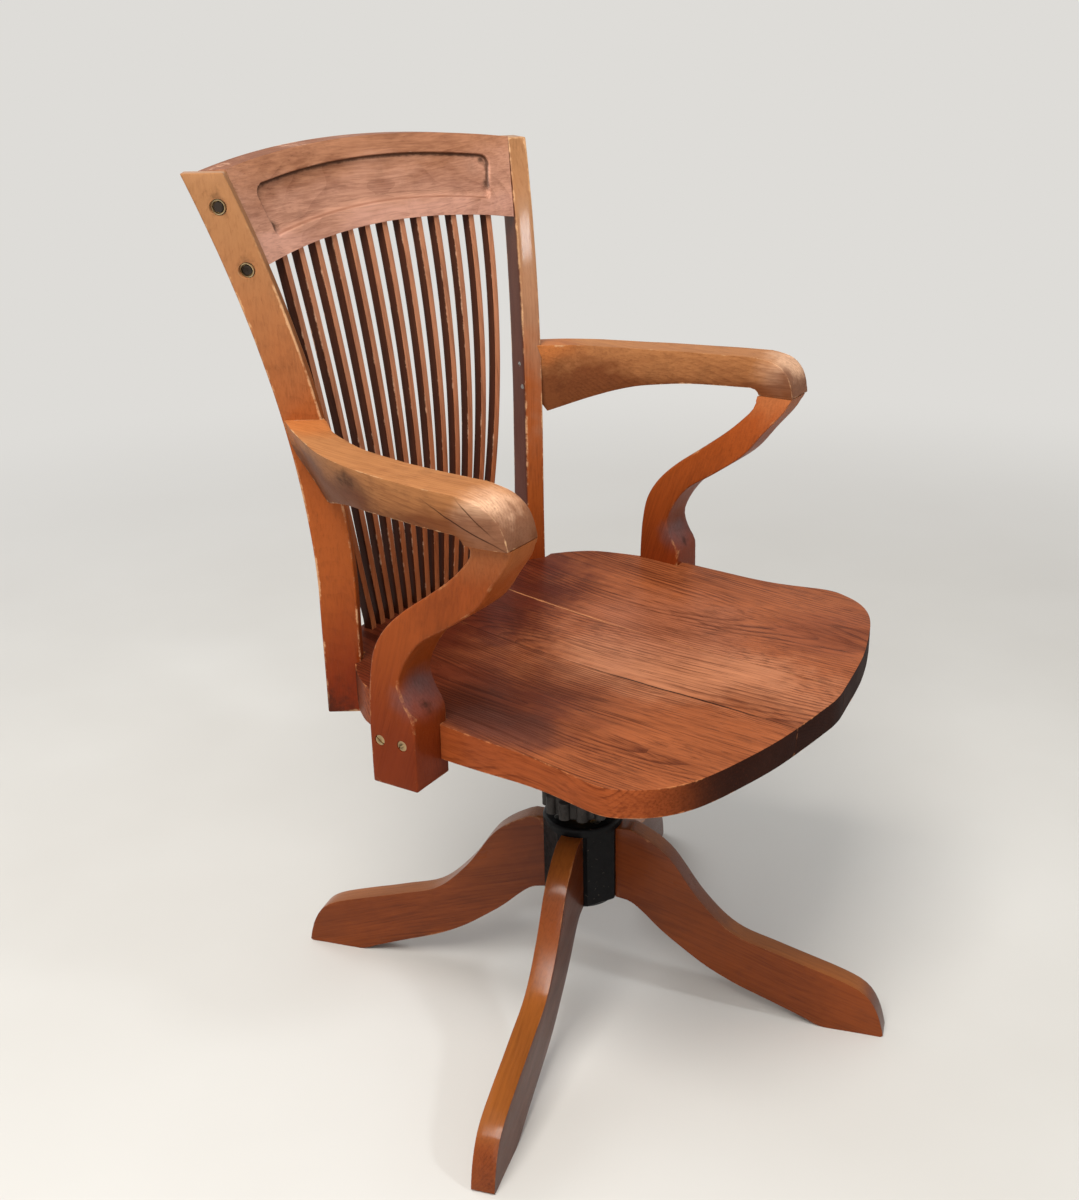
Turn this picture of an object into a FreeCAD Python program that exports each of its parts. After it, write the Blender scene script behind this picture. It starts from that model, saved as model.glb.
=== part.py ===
import FreeCAD, Part
import Sketcher
import math
import os

# Bankers swivel chair, in millimetres. The origin is on the floor under the swivel axis, +Z is up,
# the chair faces -Y, so the sitter's right hand is at -X.

V = FreeCAD.Vector
RIGHT = -1
LEFT = 1

doc = FreeCAD.newDocument("BankersChair")
sheet = doc.addObject("Spreadsheet::Sheet", "Sizes")
nodes = []

# Driving dimensions: alias, value, meaning.
DIMENSIONS = (
    # Clearances
    ("joint_gap", 0.1, "between pieces that are glued or screwed face to face"),
    ("body_gap", 0.3, "between faces of pieces that move past each other"),
    ("run_gap", 0.05, "radial running clearance of the spindle and its nut"),
    # Swivel base
    ("base_turn", 14.0, "degrees that the cross of legs is turned from the chair's axes"),
    ("hub_flats", 81.0, "hub, across its flats"),
    ("hub_bottom", 128.0, "underside of the hub above the floor"),
    ("hub_top", 217.0, "top of the hub above the floor"),
    ("hub_chamfer", 2.0, "chamfer round the hub's lower edge"),
    ("leg_reach", 345.0, "swivel axis to a leg's toe"),
    ("leg_width", 24.4, "thickness of a leg"),
    ("leg_edge", 2.5, "rounding of a leg's long edges"),
    ("leg_drop", 0.4, "top of a leg below the top of the hub"),
    ("leg_shoulder", 8.0, "level part of a leg's top, beside the hub"),
    ("sole_length", 69.0, "flat sole of a leg"),
    ("sole_fall", 57.0, "height where a leg's toe starts to round"),
    ("tenon_depth", 11.0, "dovetail of a leg, into the hub"),
    ("tenon_mouth", 12.0, "dovetail width at the hub's face"),
    ("tenon_root", 16.0, "dovetail width at its root"),
    ("cap_radius", 44.0, "cap over the leg joints"),
    ("cap_height", 10.0, "thickness of the cap"),
    ("plate_radius", 36.0, "plate under the hub"),
    ("plate_height", 3.5, "thickness of that plate"),
    ("hub_screw_circle", 29.0, "radius of the circle of hub screws"),
    ("hub_screw_radius", 3.0, "shank of a hub screw"),
    ("hub_screw_length", 24.0, "length of a hub screw"),
    # Spindle and height adjustment
    ("spindle_radius", 15.0, "spindle over its thread"),
    ("spindle_foot", 131.0, "lower end of the spindle at the lowest seat height"),
    ("spindle_head", 384.0, "upper end of the spindle"),
    ("sleeve_wall", 2.5, "wall of the bronze sleeve in the hub"),
    ("flange_radius", 24.0, "flange of the sleeve, and the thrust washer"),
    ("flange_height", 3.0, "thickness of the flange"),
    ("washer_height", 3.0, "thickness of the thrust washer"),
    ("nut_radius", 38.0, "body of the hand nut"),
    ("nut_height", 24.0, "height of the hand nut"),
    ("lobe_radius", 6.5, "grip lobe of the hand nut"),
    ("lobe_count", 12, "grip lobes"),
    ("boss_bottom", 262.0, "lower end of the spider's socket at the lowest seat height"),
    ("boss_radius", 24.0, "outer radius of that socket at its lower end"),
    ("pin_radius", 3.0, "cross pin through socket and spindle"),
    ("pin_height", 288.0, "height of the cross pin"),
    ("spider_reach", 160.0, "swivel axis to the tip of a spider arm"),
    ("spider_width", 34.0, "width of a spider arm"),
    ("spider_height", 7.0, "thickness of a spider arm"),
    ("rib_width", 6.0, "rib under a spider arm"),
    # Seat
    ("seat_bottom", 402.0, "underside of the seat above the floor"),
    ("seat_rear", 48.0, "thickness of the seat at the back"),
    ("seat_front", 28.0, "thickness of the seat at the front edge"),
    ("seat_half_width", 249.0, "half width of the seat at its waist"),
    ("seat_half_front", 264.0, "half width of the seat near its front corners"),
    ("seat_depth", 287.0, "swivel axis to the seat's front edge"),
    ("seat_back", 214.0, "swivel axis to the middle of the seat's rear edge"),
    ("seat_corner", 186.0, "half width at the seat's rear corners"),
    ("seat_edge", 3.0, "rounding of the seat's lower edge"),
    ("seat_rim", 4.0, "chamfer of the seat's upper edge"),
    ("dish_depth", 6.0, "depth of the hollow in the seat"),
    ("dish_radius", 178.0, "radius of that hollow"),
    ("dish_middle", -75.0, "middle of that hollow, along the seat"),
    ("board_turn", 7.0, "degrees that the board joints are off the chair's axis"),
    ("board_right", -60.0, "right-hand board joint, at the board line"),
    ("board_left", 44.0, "left-hand board joint, at the board line"),
    ("board_line", -120.0, "distance along the seat where the joints are measured"),
    ("dowel_radius", 4.0, "dowels in the seat and under the arms"),
    ("dowel_length", 46.0, "length of a seat dowel"),
    ("seat_dowel_height", 413.0, "height of the seat dowels"),
    # Back posts
    ("post_width", 22.0, "back post across"),
    ("post_depth", 37.0, "back post from front to back"),
    ("post_turn", 32.0, "degrees that a post is turned in plan at the seat"),
    ("post_twist", 5.0, "further degrees of turn at its top"),
    ("post_foot", 386.0, "lower end of a post"),
    ("post_bend", 516.0, "height where a post starts to lean"),
    ("post_top", 916.0, "top of a post"),
    ("post_x", 175.0, "front outer edge of a post, across, at the seat"),
    ("post_y", 152.0, "front outer edge of a post, along, at the seat"),
    ("post_flare", 66.0, "how far a post leans outwards by its top"),
    ("post_rake", 56.0, "how far a post leans back by its top"),
    # Top rail
    ("rail_radius", 1200.0, "plan radius of the rail's face"),
    ("rail_face", 224.5, "rail's face at mid-width, at the arch"),
    ("rail_rake", 0.27, "lean of the rail, sideways per upward"),
    ("rail_depth", 24.0, "thickness of the rail"),
    ("rail_arch", 848.0, "lower edge of the rail at mid-width"),
    ("rail_crest", 931.0, "upper edge of the rail at mid-width"),
    ("rail_arch_rise", 17.0, "rise of the lower edge from end to middle"),
    ("rail_crest_rise", 15.0, "rise of the upper edge from end to middle"),
    ("rail_half", 213.0, "half length of the rail, into the posts"),
    ("panel_margin", 19.0, "plain border above and below the sunk panel"),
    ("panel_half_top", 187.0, "half width of the sunk panel at its top"),
    ("panel_half_low", 177.0, "half width of the sunk panel at its bottom"),
    ("panel_sink", 4.0, "depth of the sunk panel"),
    # Rail bolts, sunk into the posts
    ("bolt_radius", 3.2, "shank of a rail bolt"),
    ("bolt_length", 54.0, "length of a rail bolt under its head"),
    ("bolt_head", 3.6, "height of its hexagonal head"),
    ("bolt_head_radius", 5.0, "head over its corners"),
    ("bolt_cup", 1.2, "floor of the cup washer under the head"),
    ("bolt_cup_wall", 0.9, "wall of the cup washer, round the head"),
    ("bolt_cup_radius", 6.6, "outer radius of the cup washer"),
    ("bolt_cup_rim", 0.5, "rim of the cup washer below the post's face"),
    ("bolt_sink", 6.0, "depth of the counterbore in a post"),
    # Slats
    ("slat_count", 13, "slats in the back"),
    ("slat_width", 9.0, "slat across"),
    ("slat_depth", 10.0, "slat from front to back"),
    ("slat_pitch_low", 17.2, "spacing of the slats at the seat"),
    ("slat_pitch_high", 28.1, "spacing of the slats at the rail"),
    ("slat_bow", 1.4, "extra spacing half way up"),
    ("slat_face", 196.5, "front of the middle slat at the seat"),
    ("slat_rake", 43.5, "how far the slats lean back by the posts' top"),
    ("slat_tenon", 13.0, "depth that a slat goes into the seat and the rail"),
    # Arms and their supports
    ("arm_top", 688.0, "top of an arm at its front"),
    ("arm_rear_rise", 5.0, "how much higher the arm is at its post"),
    ("arm_under", 652.0, "underside of an arm, half way along"),
    ("arm_joint", 645.5, "joint between an arm and its support"),
    ("arm_front", 118.5, "swivel axis to the front of an arm"),
    ("arm_outer", 316.0, "outer edge of an arm at its front, from the axis"),
    ("arm_inner", 267.0, "inner edge of an arm at its front, from the axis"),
    ("support_foot", 384.0, "lower end of a support"),
    ("support_outer", 284.0, "outer face of a support at the seat, from the axis"),
    ("support_width", 50.0, "support from side to side"),
    ("support_flare", 19.0, "how far a support leans outwards by its top"),
    ("support_front", 5.0, "front of a support's foot"),
    ("support_rear", 56.0, "back of a support's foot"),
    ("arm_dowel_length", 30.0, "dowels between an arm and its support"),
)


# Wood screws: radius and height of the countersunk head, and radius of the shank.
SMALL_SCREW = (4.2, 2.4, 2.2)
POST_SCREW = (4.5, 2.6, 2.4)
SUPPORT_SCREW = (5.0, 2.8, 2.6)
SPIDER_SCREW_LENGTH = 24.0
SUPPORT_SCREW_LENGTH = 78.0
SCREW_POINT = 0.8

# Where dowels and bolts stand: along the seat, along the arms, and up a post from the rail's arch
# with the climb of each bolt.
SEAT_DOWEL_PLACES = (-190.0, -10.0, 130.0)
ARM_DOWEL_PLACES = (-80.0, -102.0)
BOLT_PLACES = ((-16.0, 0.2), (39.0, 0.03))
BOLT_SLANT = 16.0

# Longer than anything in the chair, for cuts that go right through it.
THROUGH = 800.0


def arithmetic(symbol, combine, swapped=False):
    def operate(self, other):
        first, second = (other, self) if swapped else (self, other)
        text = "(" + text_of(first) + " " + symbol + " " + text_of(second) + ")"
        return Size(combine(float(first), float(second)), text)

    return operate


class Size(float):
    """A number that also knows the sheet expression it comes from."""

    def __new__(cls, value, text):
        made = super().__new__(cls, value)
        made.text = text
        return made

    __add__ = arithmetic("+", lambda a, b: a + b)
    __radd__ = arithmetic("+", lambda a, b: a + b, swapped=True)
    __sub__ = arithmetic("-", lambda a, b: a - b)
    __rsub__ = arithmetic("-", lambda a, b: a - b, swapped=True)
    __mul__ = arithmetic("*", lambda a, b: a * b)
    __rmul__ = arithmetic("*", lambda a, b: a * b, swapped=True)
    __truediv__ = arithmetic("/", lambda a, b: a / b)

    def __neg__(self):
        return Size(-float(self), "(-1 * " + self.text + ")")


def text_of(number):
    return number.text if isinstance(number, Size) else format(float(number), ".9f")


class Sizes:
    """The sheet's cells as Size attributes."""

    def __init__(self):
        for row, (alias, value, meaning) in enumerate(DIMENSIONS, start=1):
            sheet.set("A%d" % row, alias)
            sheet.set("B%d" % row, str(value))
            sheet.set("C%d" % row, meaning)
            sheet.setAlias("B%d" % row, alias)
        doc.recompute()
        for alias, _, _ in DIMENSIONS:
            setattr(self, alias, Size(getattr(sheet, alias), "Sizes." + alias))


s = Sizes()


# Helpers for bodies, sketches and features


def new_body(label):
    body = doc.addObject("PartDesign::Body", label)
    body.Label = label
    return body


def node(shape_object, label):
    shape_object.Label = label
    nodes.append(shape_object)
    return shape_object


def origin_plane(body, role):
    return next(plane for plane in body.Origin.OriginFeatures if plane.Role == role)


def new_sketch(body, name, role, shift=V(0, 0, 0), turn=0.0):
    sketch = body.newObject("Sketcher::SketchObject", name)
    sketch.AttachmentSupport = [(origin_plane(body, role), "")]
    sketch.MapMode = "FlatFace"
    sketch.AttachmentOffset = FreeCAD.Placement(shift, FreeCAD.Rotation(V(0, 0, 1), turn))
    return sketch


def constrain(sketch, kind, arguments, amount):
    """Adds a dimension to a sketch and binds it to the sheet where the amount comes from there."""
    index = sketch.addConstraint(Sketcher.Constraint(kind, *arguments, float(amount)))
    if isinstance(amount, Size):
        name = "size%d" % index
        sketch.renameConstraint(index, name)
        sketch.setExpression("Constraints." + name, amount.text)


def flat(point):
    return V(float(point[0]), float(point[1]), 0)


def outline(body, name, role, start, segments, shift=V(0, 0, 0), turn=0.0):
    """Draws a closed outline. Each segment is a kind and its points, the last of them its end:
    "line", "arc" through one point between, or "curve", a smooth curve through all of them."""
    sketch = new_sketch(body, name, role, shift, turn)
    here = start
    begins, ends = [], []
    for kind, *points in segments:
        there = points[-1]
        if kind == "line":
            piece = Part.LineSegment(flat(here), flat(there))
        elif kind == "arc":
            piece = Part.Arc(flat(here), flat(points[0]), flat(there))
        else:
            piece = Part.BSplineCurve()
            piece.interpolate([flat(here)] + [flat(point) for point in points])
        index = sketch.addGeometry(piece, False)
        swapped = sketch.getPoint(index, 1).distanceToPoint(flat(here)) > 1e-6
        begins.append((index, 2 if swapped else 1))
        ends.append((index, 1 if swapped else 2))
        if kind == "arc":
            constrain(sketch, "Radius", (index,), sketch.Geometry[index].Radius)
        here = there
    corners = [start] + [points[-1] for _, *points in segments[:-1]]
    for number, corner in enumerate(corners):
        sketch.addConstraint(Sketcher.Constraint("Coincident", *ends[number - 1], *begins[number]))
        constrain(sketch, "DistanceX", (-1, 1, *begins[number]), corner[0])
        constrain(sketch, "DistanceY", (-1, 1, *begins[number]), corner[1])
    return sketch


def polygon(body, name, role, points, shift=V(0, 0, 0), turn=0.0):
    lines = [("line", point) for point in points[1:]] + [("line", points[0])]
    return outline(body, name, role, points[0], lines, shift, turn)


def circle(body, name, role, radius, shift=V(0, 0, 0), centre=(0.0, 0.0)):
    sketch = new_sketch(body, name, role, shift)
    index = sketch.addGeometry(Part.Circle(flat(centre), V(0, 0, 1), float(radius)), False)
    constrain(sketch, "Radius", (index,), radius)
    constrain(sketch, "DistanceX", (-1, 1, index, 3), centre[0])
    constrain(sketch, "DistanceY", (-1, 1, index, 3), centre[1])
    return sketch


def rectangle(body, name, role, width, depth, shift, turn):
    """A rectangle about the sketch's own origin."""
    half_x, half_y = width / 2, depth / 2
    corners = ((-half_x, -half_y), (half_x, -half_y), (half_x, half_y), (-half_x, half_y))
    return polygon(body, name, role, corners, shift, turn)


def pad(body, sketch, length, symmetric=False):
    feature = body.newObject("PartDesign::Pad", sketch.Name + "_pad")
    feature.Profile = sketch
    feature.SideType = "Symmetric" if symmetric else "One side"
    feature.Length = float(length)
    if isinstance(length, Size):
        feature.setExpression("Length", length.text)
    return feature


def pocket(body, sketch, length=None, symmetric=False, along_normal=False):
    """Cuts away from the sketch plane, by a length or through everything."""
    feature = body.newObject("PartDesign::Pocket", sketch.Name + "_pocket")
    feature.Profile = sketch
    feature.SideType = "Symmetric" if symmetric else "One side"
    feature.Reversed = along_normal
    if length is None:
        feature.Type = "ThroughAll"
    else:
        feature.Length = float(length)
        if isinstance(length, Size):
            feature.setExpression("Length", length.text)
    return feature


def turned(body, sketch, angle=360.0, symmetric=False):
    """A solid of revolution about the sketch's upright axis."""
    feature = body.newObject("PartDesign::Revolution", sketch.Name + "_turned")
    feature.Profile = sketch
    feature.ReferenceAxis = (sketch, ["V_Axis"])
    feature.Angle = angle
    feature.Midplane = symmetric
    return feature


def around(body, features, count):
    """Repeats features round the upright axis and makes the pattern the body's result."""
    doc.recompute()
    pattern = body.newObject("PartDesign::PolarPattern", features[-1].Name + "_round")
    pattern.Originals = features
    pattern.Axis = (origin_axis(body, "Z_Axis"), [""])
    pattern.Angle = 360.0
    pattern.Occurrences = int(count)
    body.Tip = pattern
    return pattern


def origin_axis(body, role):
    return next(axis for axis in body.Origin.OriginFeatures if axis.Role == role)


def dress(body, kind, base, wanted, size):
    """Rounds ("Fillet") or chamfers ("Chamfer") the edges of a feature that wanted() picks."""
    doc.recompute()
    edges = ["Edge%d" % number for number, edge in enumerate(base.Shape.Edges, start=1) if wanted(edge)]
    feature = body.newObject("PartDesign::" + kind, base.Name + "_" + kind.lower())
    feature.Base = (base, edges)
    setting = "Radius" if kind == "Fillet" else "Size"
    setattr(feature, setting, float(size))
    feature.setExpression(setting, size.text)
    return feature


def lofted(body, sections):
    feature = body.newObject("PartDesign::AdditiveLoft", sections[0].Name + "_loft")
    feature.Profile = sections[0]
    feature.Sections = sections[1:]
    return feature


def shaped(name, shape):
    """A plain shape as an object of the document, such as a group of screws or a cutting tool."""
    feature = doc.addObject("Part::Feature", name)
    feature.Shape = shape
    return feature


def without(name, base, *tools):
    """The base with every tool cut out of it."""
    for number, tool in enumerate(tools):
        cut = doc.addObject("Part::Cut", name + "_cut%d" % number)
        cut.Base = base
        cut.Tool = tool
        base = cut
    return base


def shared(name, first, second):
    common = doc.addObject("Part::Common", name)
    common.Base = first
    common.Tool = second
    return common


def direction_to_rotation(direction):
    return FreeCAD.Rotation(V(0, 0, 1), direction)


def screw(head_radius, head_height, shank_radius, length, grow=0.0, tip=3.0):
    """A countersunk screw along +Z from its head's face. grow makes the hole for it."""
    head = Part.makeCone(head_radius + grow, shank_radius + grow, head_height)
    shank = Part.makeCylinder(shank_radius + grow, length - tip - head_height, V(0, 0, head_height))
    point = Part.makeCone(shank_radius + grow, SCREW_POINT + grow, tip + grow, V(0, 0, length - tip))
    return head.fuse([shank, point]).removeSplitter()


def placed(shape, places):
    """A compound of copies of a shape, each at a point and along a direction."""
    copies = []
    for point, direction in places:
        copy = shape.copy()
        copy.Placement = FreeCAD.Placement(point, direction_to_rotation(direction))
        copies.append(copy)
    return Part.makeCompound(copies)


def polar(radius, degrees, height):
    angle = math.radians(degrees)
    return V(radius * math.cos(angle), radius * math.sin(angle), height)


# Swivel base


def base_placement(quarter=0):
    return FreeCAD.Placement(V(0, 0, 0), FreeCAD.Rotation(V(0, 0, 1), s.base_turn + 90 * quarter))


def dovetail(body, name, grow, height):
    """Plan outline of a leg's dovetail, pointing along +X."""
    face = s.hub_flats / 2
    root = face - s.tenon_depth
    slope = (s.tenon_root - s.tenon_mouth) / 2 / s.tenon_depth
    overlap = 1.0
    mouth_half = s.tenon_mouth / 2 + grow - slope * overlap
    root_half = s.tenon_root / 2 + grow
    corners = (
        (root - grow, -root_half),
        (face + overlap, -mouth_half),
        (face + overlap, mouth_half),
        (root - grow, root_half),
    )
    return polygon(body, name, "XY_Plane", corners, V(0, 0, height))


def make_hub():
    body = new_body("hub_body")
    face = s.hub_flats / 2
    corner = face * math.tan(math.pi / 8)
    eighths = [(face, -corner), (face, corner), (corner, face), (-corner, face)]
    points = eighths + [(-x, -y) for x, y in eighths]
    block = pad(body, polygon(body, "hub_plan", "XY_Plane", points, V(0, 0, s.hub_bottom)),
                s.hub_top - s.hub_bottom)
    dress(body, "Chamfer", block,
          lambda edge: edge.BoundBox.ZMax < s.hub_bottom + 1, s.hub_chamfer)
    bore = circle(body, "hub_bore", "XY_Plane", s.spindle_radius + s.run_gap + s.sleeve_wall + s.joint_gap)
    pocket(body, bore, along_normal=True)
    slot = pocket(body, dovetail(body, "hub_slot", 0.0, 0.0), along_normal=True)
    around(body, [slot], 4)
    body.Placement = base_placement()
    hub = without("hub", body, hub_screw_holes, plate_screw_holes)
    node(hub, "hub")


def leg_curve(points):
    """Points of a leg's side outline: a share of the way from hub to toe, and a height."""
    face = s.hub_flats / 2 + s.joint_gap
    return [(face + (s.leg_reach - face) * share, height) for share, height in points]


def make_leg(quarter, label):
    body = new_body(label)
    face = s.hub_flats / 2 + s.joint_gap
    top = leg_curve(((0.076, s.hub_top - 2.6), (0.195, s.hub_top - 27), (0.315, s.hub_top - 77),
                     (0.44, s.sole_fall + 47), (0.60, s.sole_fall + 30), (0.80, s.sole_fall + 11.5),
                     (0.905, s.sole_fall)))
    toe = leg_curve(((0.972, s.sole_fall * 0.54),))
    heel = s.leg_reach - s.sole_length
    below = leg_curve(((0.60, 21.5), (0.45, 39.0), (0.338, 57.0), (0.235, 79.0),
                       (0.165, 96.0), (0.105, s.hub_bottom - 14.5), (0.055, s.hub_bottom - 3),
                       (0.0, s.hub_bottom + 0.5)))
    shoulder = s.hub_top - s.leg_drop
    side = outline(body, label + "_side", "XZ_Plane", (face, shoulder), (
        ("line", (face + s.leg_shoulder, shoulder)),
        ("curve", *top),
        ("arc", *toe, (s.leg_reach, 0.0)),
        ("line", (heel, 0.0)),
        ("curve", (heel - 22.3, 9.5), *below),
        ("line", (face, shoulder)),
    ))
    blank = pad(body, side, s.leg_width, symmetric=True)
    dress(body, "Fillet", blank, long_leg_edge, s.leg_edge)
    tenon = dovetail(body, label + "_tenon", -s.joint_gap, s.hub_bottom + s.leg_drop)
    pad(body, tenon, s.hub_top - s.hub_bottom - 2 * s.leg_drop)
    body.Placement = base_placement(quarter)
    node(body, label)


def long_leg_edge(edge):
    """The long curved edges of a leg's blank, above and below."""
    box = edge.BoundBox
    return box.YLength < 0.01 and box.XLength > 100 and box.ZLength > 10


def hub_screw_places(height, direction):
    return [(polar(s.hub_screw_circle, s.base_turn + 45 + 90 * quarter, height), V(0, 0, direction))
            for quarter in range(4)]


def hub_screws(name, height, direction, grow=0.0):
    shape = screw(2 * s.hub_screw_radius, s.hub_screw_radius, s.hub_screw_radius, s.hub_screw_length, grow)
    return shaped(name, placed(shape, hub_screw_places(height, direction)))


def make_hub_cap():
    body = new_body("cap_body")
    bore = s.spindle_radius + s.run_gap + s.sleeve_wall + s.joint_gap
    low = s.hub_top + s.joint_gap
    high = s.hub_top + s.cap_height
    section = outline(body, "cap_section", "XZ_Plane", (bore, low), (
        ("line", (s.cap_radius, low)),
        ("line", (s.cap_radius, high - 4)),
        ("arc", (s.cap_radius - 1.2, high - 1.2), (s.cap_radius - 4, high)),
        ("line", (bore, high)),
        ("line", (bore, low)),
    ))
    turned(body, section)
    node(without("hub_cap", body, hub_screw_holes), "hub_cap")


def make_hub_plate():
    body = new_body("plate_body")
    low = s.hub_bottom - s.plate_height
    disc = circle(body, "plate_plan", "XY_Plane", s.plate_radius, V(0, 0, low))
    pad(body, disc, s.plate_height - s.joint_gap)
    bore = circle(body, "plate_bore", "XY_Plane", s.spindle_radius + 0.6)
    pocket(body, bore, along_normal=True)
    node(without("hub_plate", body, plate_screw_holes), "hub_plate")


def make_sleeve():
    body = new_body("spindle_sleeve")
    inner = s.spindle_radius + s.run_gap
    outer = inner + s.sleeve_wall
    low = s.hub_bottom
    ledge = s.hub_top + s.cap_height + s.joint_gap
    high = s.hub_top + s.cap_height + s.flange_height
    section = polygon(body, "sleeve_section", "XZ_Plane", (
        (inner, low), (outer, low), (outer, ledge), (s.flange_radius, ledge),
        (s.flange_radius, high), (inner, high),
    ))
    turned(body, section)
    node(body, "spindle_sleeve")


# Height adjustment


def washer_bottom():
    return s.hub_top + s.cap_height + s.flange_height + s.body_gap


def make_thrust_washer():
    body = new_body("thrust_washer")
    low = washer_bottom()
    inner = s.spindle_radius + s.body_gap
    high = low + s.washer_height
    section = polygon(body, "washer_section", "XZ_Plane", (
        (inner, low), (s.flange_radius, low), (s.flange_radius, high), (inner, high),
    ))
    turned(body, section)
    node(body, "thrust_washer")


def make_height_nut():
    body = new_body("height_nut")
    low = washer_bottom() + s.washer_height + s.body_gap
    high = low + s.nut_height
    inner = s.spindle_radius + s.run_gap
    section = outline(body, "nut_section", "XZ_Plane", (inner, low), (
        ("line", (s.nut_radius - 3, low)),
        ("line", (s.nut_radius, low + 3)),
        ("line", (s.nut_radius, high - 3)),
        ("arc", (s.nut_radius - 0.9, high - 0.9), (s.nut_radius - 3, high)),
        ("line", (inner, high)),
        ("line", (inner, low)),
    ))
    turned(body, section)
    lobe = circle(body, "nut_lobe", "XY_Plane", s.lobe_radius, V(0, 0, low + 2), (s.nut_radius, 0.0))
    grip = pad(body, lobe, s.nut_height - 4)
    around(body, [grip], s.lobe_count)
    node(body, "height_nut")


def make_spindle():
    body = new_body("spindle_body")
    rod = circle(body, "spindle_plan", "XY_Plane", s.spindle_radius, V(0, 0, s.spindle_foot))
    shaft = pad(body, rod, s.spindle_head - s.spindle_foot)
    dress(body, "Chamfer", shaft, lambda edge: edge.BoundBox.ZLength < 0.01, s.spindle_radius / 8)
    node(without("spindle", body, pin_hole), "spindle")


def cross_pin(name, radius, length):
    pin = Part.makeCylinder(radius, length, V(-length / 2, 0, s.pin_height), V(1, 0, 0))
    return shaped(name, pin)


def make_spider():
    body = new_body("spider_body")
    top = s.seat_bottom - s.joint_gap
    arm_bottom = top - s.spider_height
    section = outline(body, "spider_section", "XZ_Plane", (0.0, s.boss_bottom), (
        ("line", (s.boss_radius, s.boss_bottom)),
        ("line", (s.boss_radius + 2, arm_bottom - 45)),
        ("arc", (s.boss_radius + 9, arm_bottom - 16), (s.boss_radius + 30, arm_bottom)),
        ("line", (s.boss_radius + 30, top)),
        ("line", (0.0, top)),
        ("line", (0.0, s.boss_bottom)),
    ))
    turned(body, section)
    half = s.spider_width / 2
    tip = half * 0.7
    plan = outline(body, "spider_arm", "XY_Plane", (0.0, -half), (
        ("line", (s.spider_reach - tip / 2, -tip)),
        ("arc", (s.spider_reach, 0.0), (s.spider_reach - tip / 2, tip)),
        ("line", (0.0, half)),
        ("line", (0.0, -half)),
    ), V(0, 0, arm_bottom))
    arm = pad(body, plan, s.spider_height)
    rib_side = polygon(body, "spider_rib", "XZ_Plane", (
        (s.boss_radius - 4, arm_bottom + 1), (s.boss_radius - 4, arm_bottom - 40),
        (s.spider_reach - 30, arm_bottom - 2), (s.spider_reach - 30, arm_bottom + 1),
    ))
    rib = pad(body, rib_side, s.rib_width, symmetric=True)
    around(body, [arm, rib], 4)
    bore = circle(body, "spider_bore", "XY_Plane", s.spindle_radius + s.run_gap)
    pocket(body, bore, s.spindle_head + s.run_gap, along_normal=True)
    body.Placement = FreeCAD.Placement(V(0, 0, 0), FreeCAD.Rotation(V(0, 0, 1), 45))
    node(without("seat_spider", body, pin_hole, spider_screw_holes), "seat_spider")


def spider_screws(name, grow=0.0):
    """Two screws in each arm of the spider: one beside its rib and one past the rib's end."""
    low = s.seat_bottom - s.joint_gap - s.spider_height
    head_room = SMALL_SCREW[0] + 1.6
    places = []
    for quarter in range(4):
        angle = 45 + 90 * quarter
        beside = polar(1.0, angle + 90, 0) * (s.rib_width / 2 + head_room)
        places.append((polar(s.spider_reach - 66, angle, low) + beside, V(0, 0, 1)))
        places.append((polar(s.spider_reach - 14, angle, low), V(0, 0, 1)))
    return shaped(name, placed(screw(*SMALL_SCREW, SPIDER_SCREW_LENGTH, grow), places))


# Back posts: their line is also what the arms, the seat and the rail are fitted to


def post_lean(height):
    """Share of the way from where a post starts to lean to its full lean."""
    return max(0.0, (height - s.post_bend) / (s.post_top - 3 - s.post_bend))


def post_frame(height, side):
    """Front outer corner, across and back directions and turn of a post at a height."""
    lean = post_lean(height)
    turn = s.post_turn + s.post_twist * lean
    corner = V(s.post_x + s.post_flare * lean ** 1.65, s.post_y + s.post_rake * lean ** 2, height)
    angle = math.radians(turn)
    across = V(-math.cos(angle), math.sin(angle), 0)
    back = V(math.sin(angle), math.cos(angle), 0)
    flip = V(side, 1, 1)
    corner, across, back = (V(v.x * flip.x, v.y, v.z) for v in (corner, across, back))
    return corner, across, back, -side * turn


def post_point(height, side, inward, rearward):
    corner, across, back, _ = post_frame(height, side)
    return corner + across * inward + back * rearward


def post_blank(label, side, grow=0.0):
    """A post, or with grow the room that it takes in the pieces joined to it."""
    body = new_body(label)
    straight = (s.post_foot, s.post_foot + 62, s.post_bend - 8)
    shares = (0.12, 0.3, 0.48, 0.66, 0.83, 1)
    leaning = [s.post_bend + (s.post_top - s.post_bend) * share for share in shares]
    sections = []
    for number, height in enumerate((*straight, *leaning)):
        centre = post_point(height, side, s.post_width / 2, s.post_depth / 2)
        turn = post_frame(height, side)[3]
        sections.append(rectangle(body, label + "_section%d" % number, "XY_Plane",
                                  s.post_width + 2 * grow, s.post_depth + 2 * grow, centre, turn))
    lofted(body, sections)
    return body


def make_posts():
    for side, name in ((RIGHT, "right"), (LEFT, "left")):
        blank = post_blank("post_" + name + "_blank", side)
        posts[side] = post_blank("post_" + name + "_room", side, s.joint_gap)
        post = without("post_" + name, blank, rail_bolt_holes, rail_washer_holes, post_screw_holes,
                       arm_screw_holes)
        node(post, "back_post_" + name)


def rail_bolt_places():
    """Start, on a post's outer face, and direction of the bolts that hold the rail."""
    places = []
    for side in (RIGHT, LEFT):
        for above, climb in BOLT_PLACES:
            start = post_point(s.rail_arch + above, side, 0, s.post_depth / 2)
            plan = math.radians(BOLT_SLANT)
            places.append((start, V(-side * math.cos(plan), math.sin(plan), climb)))
    return places


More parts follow.
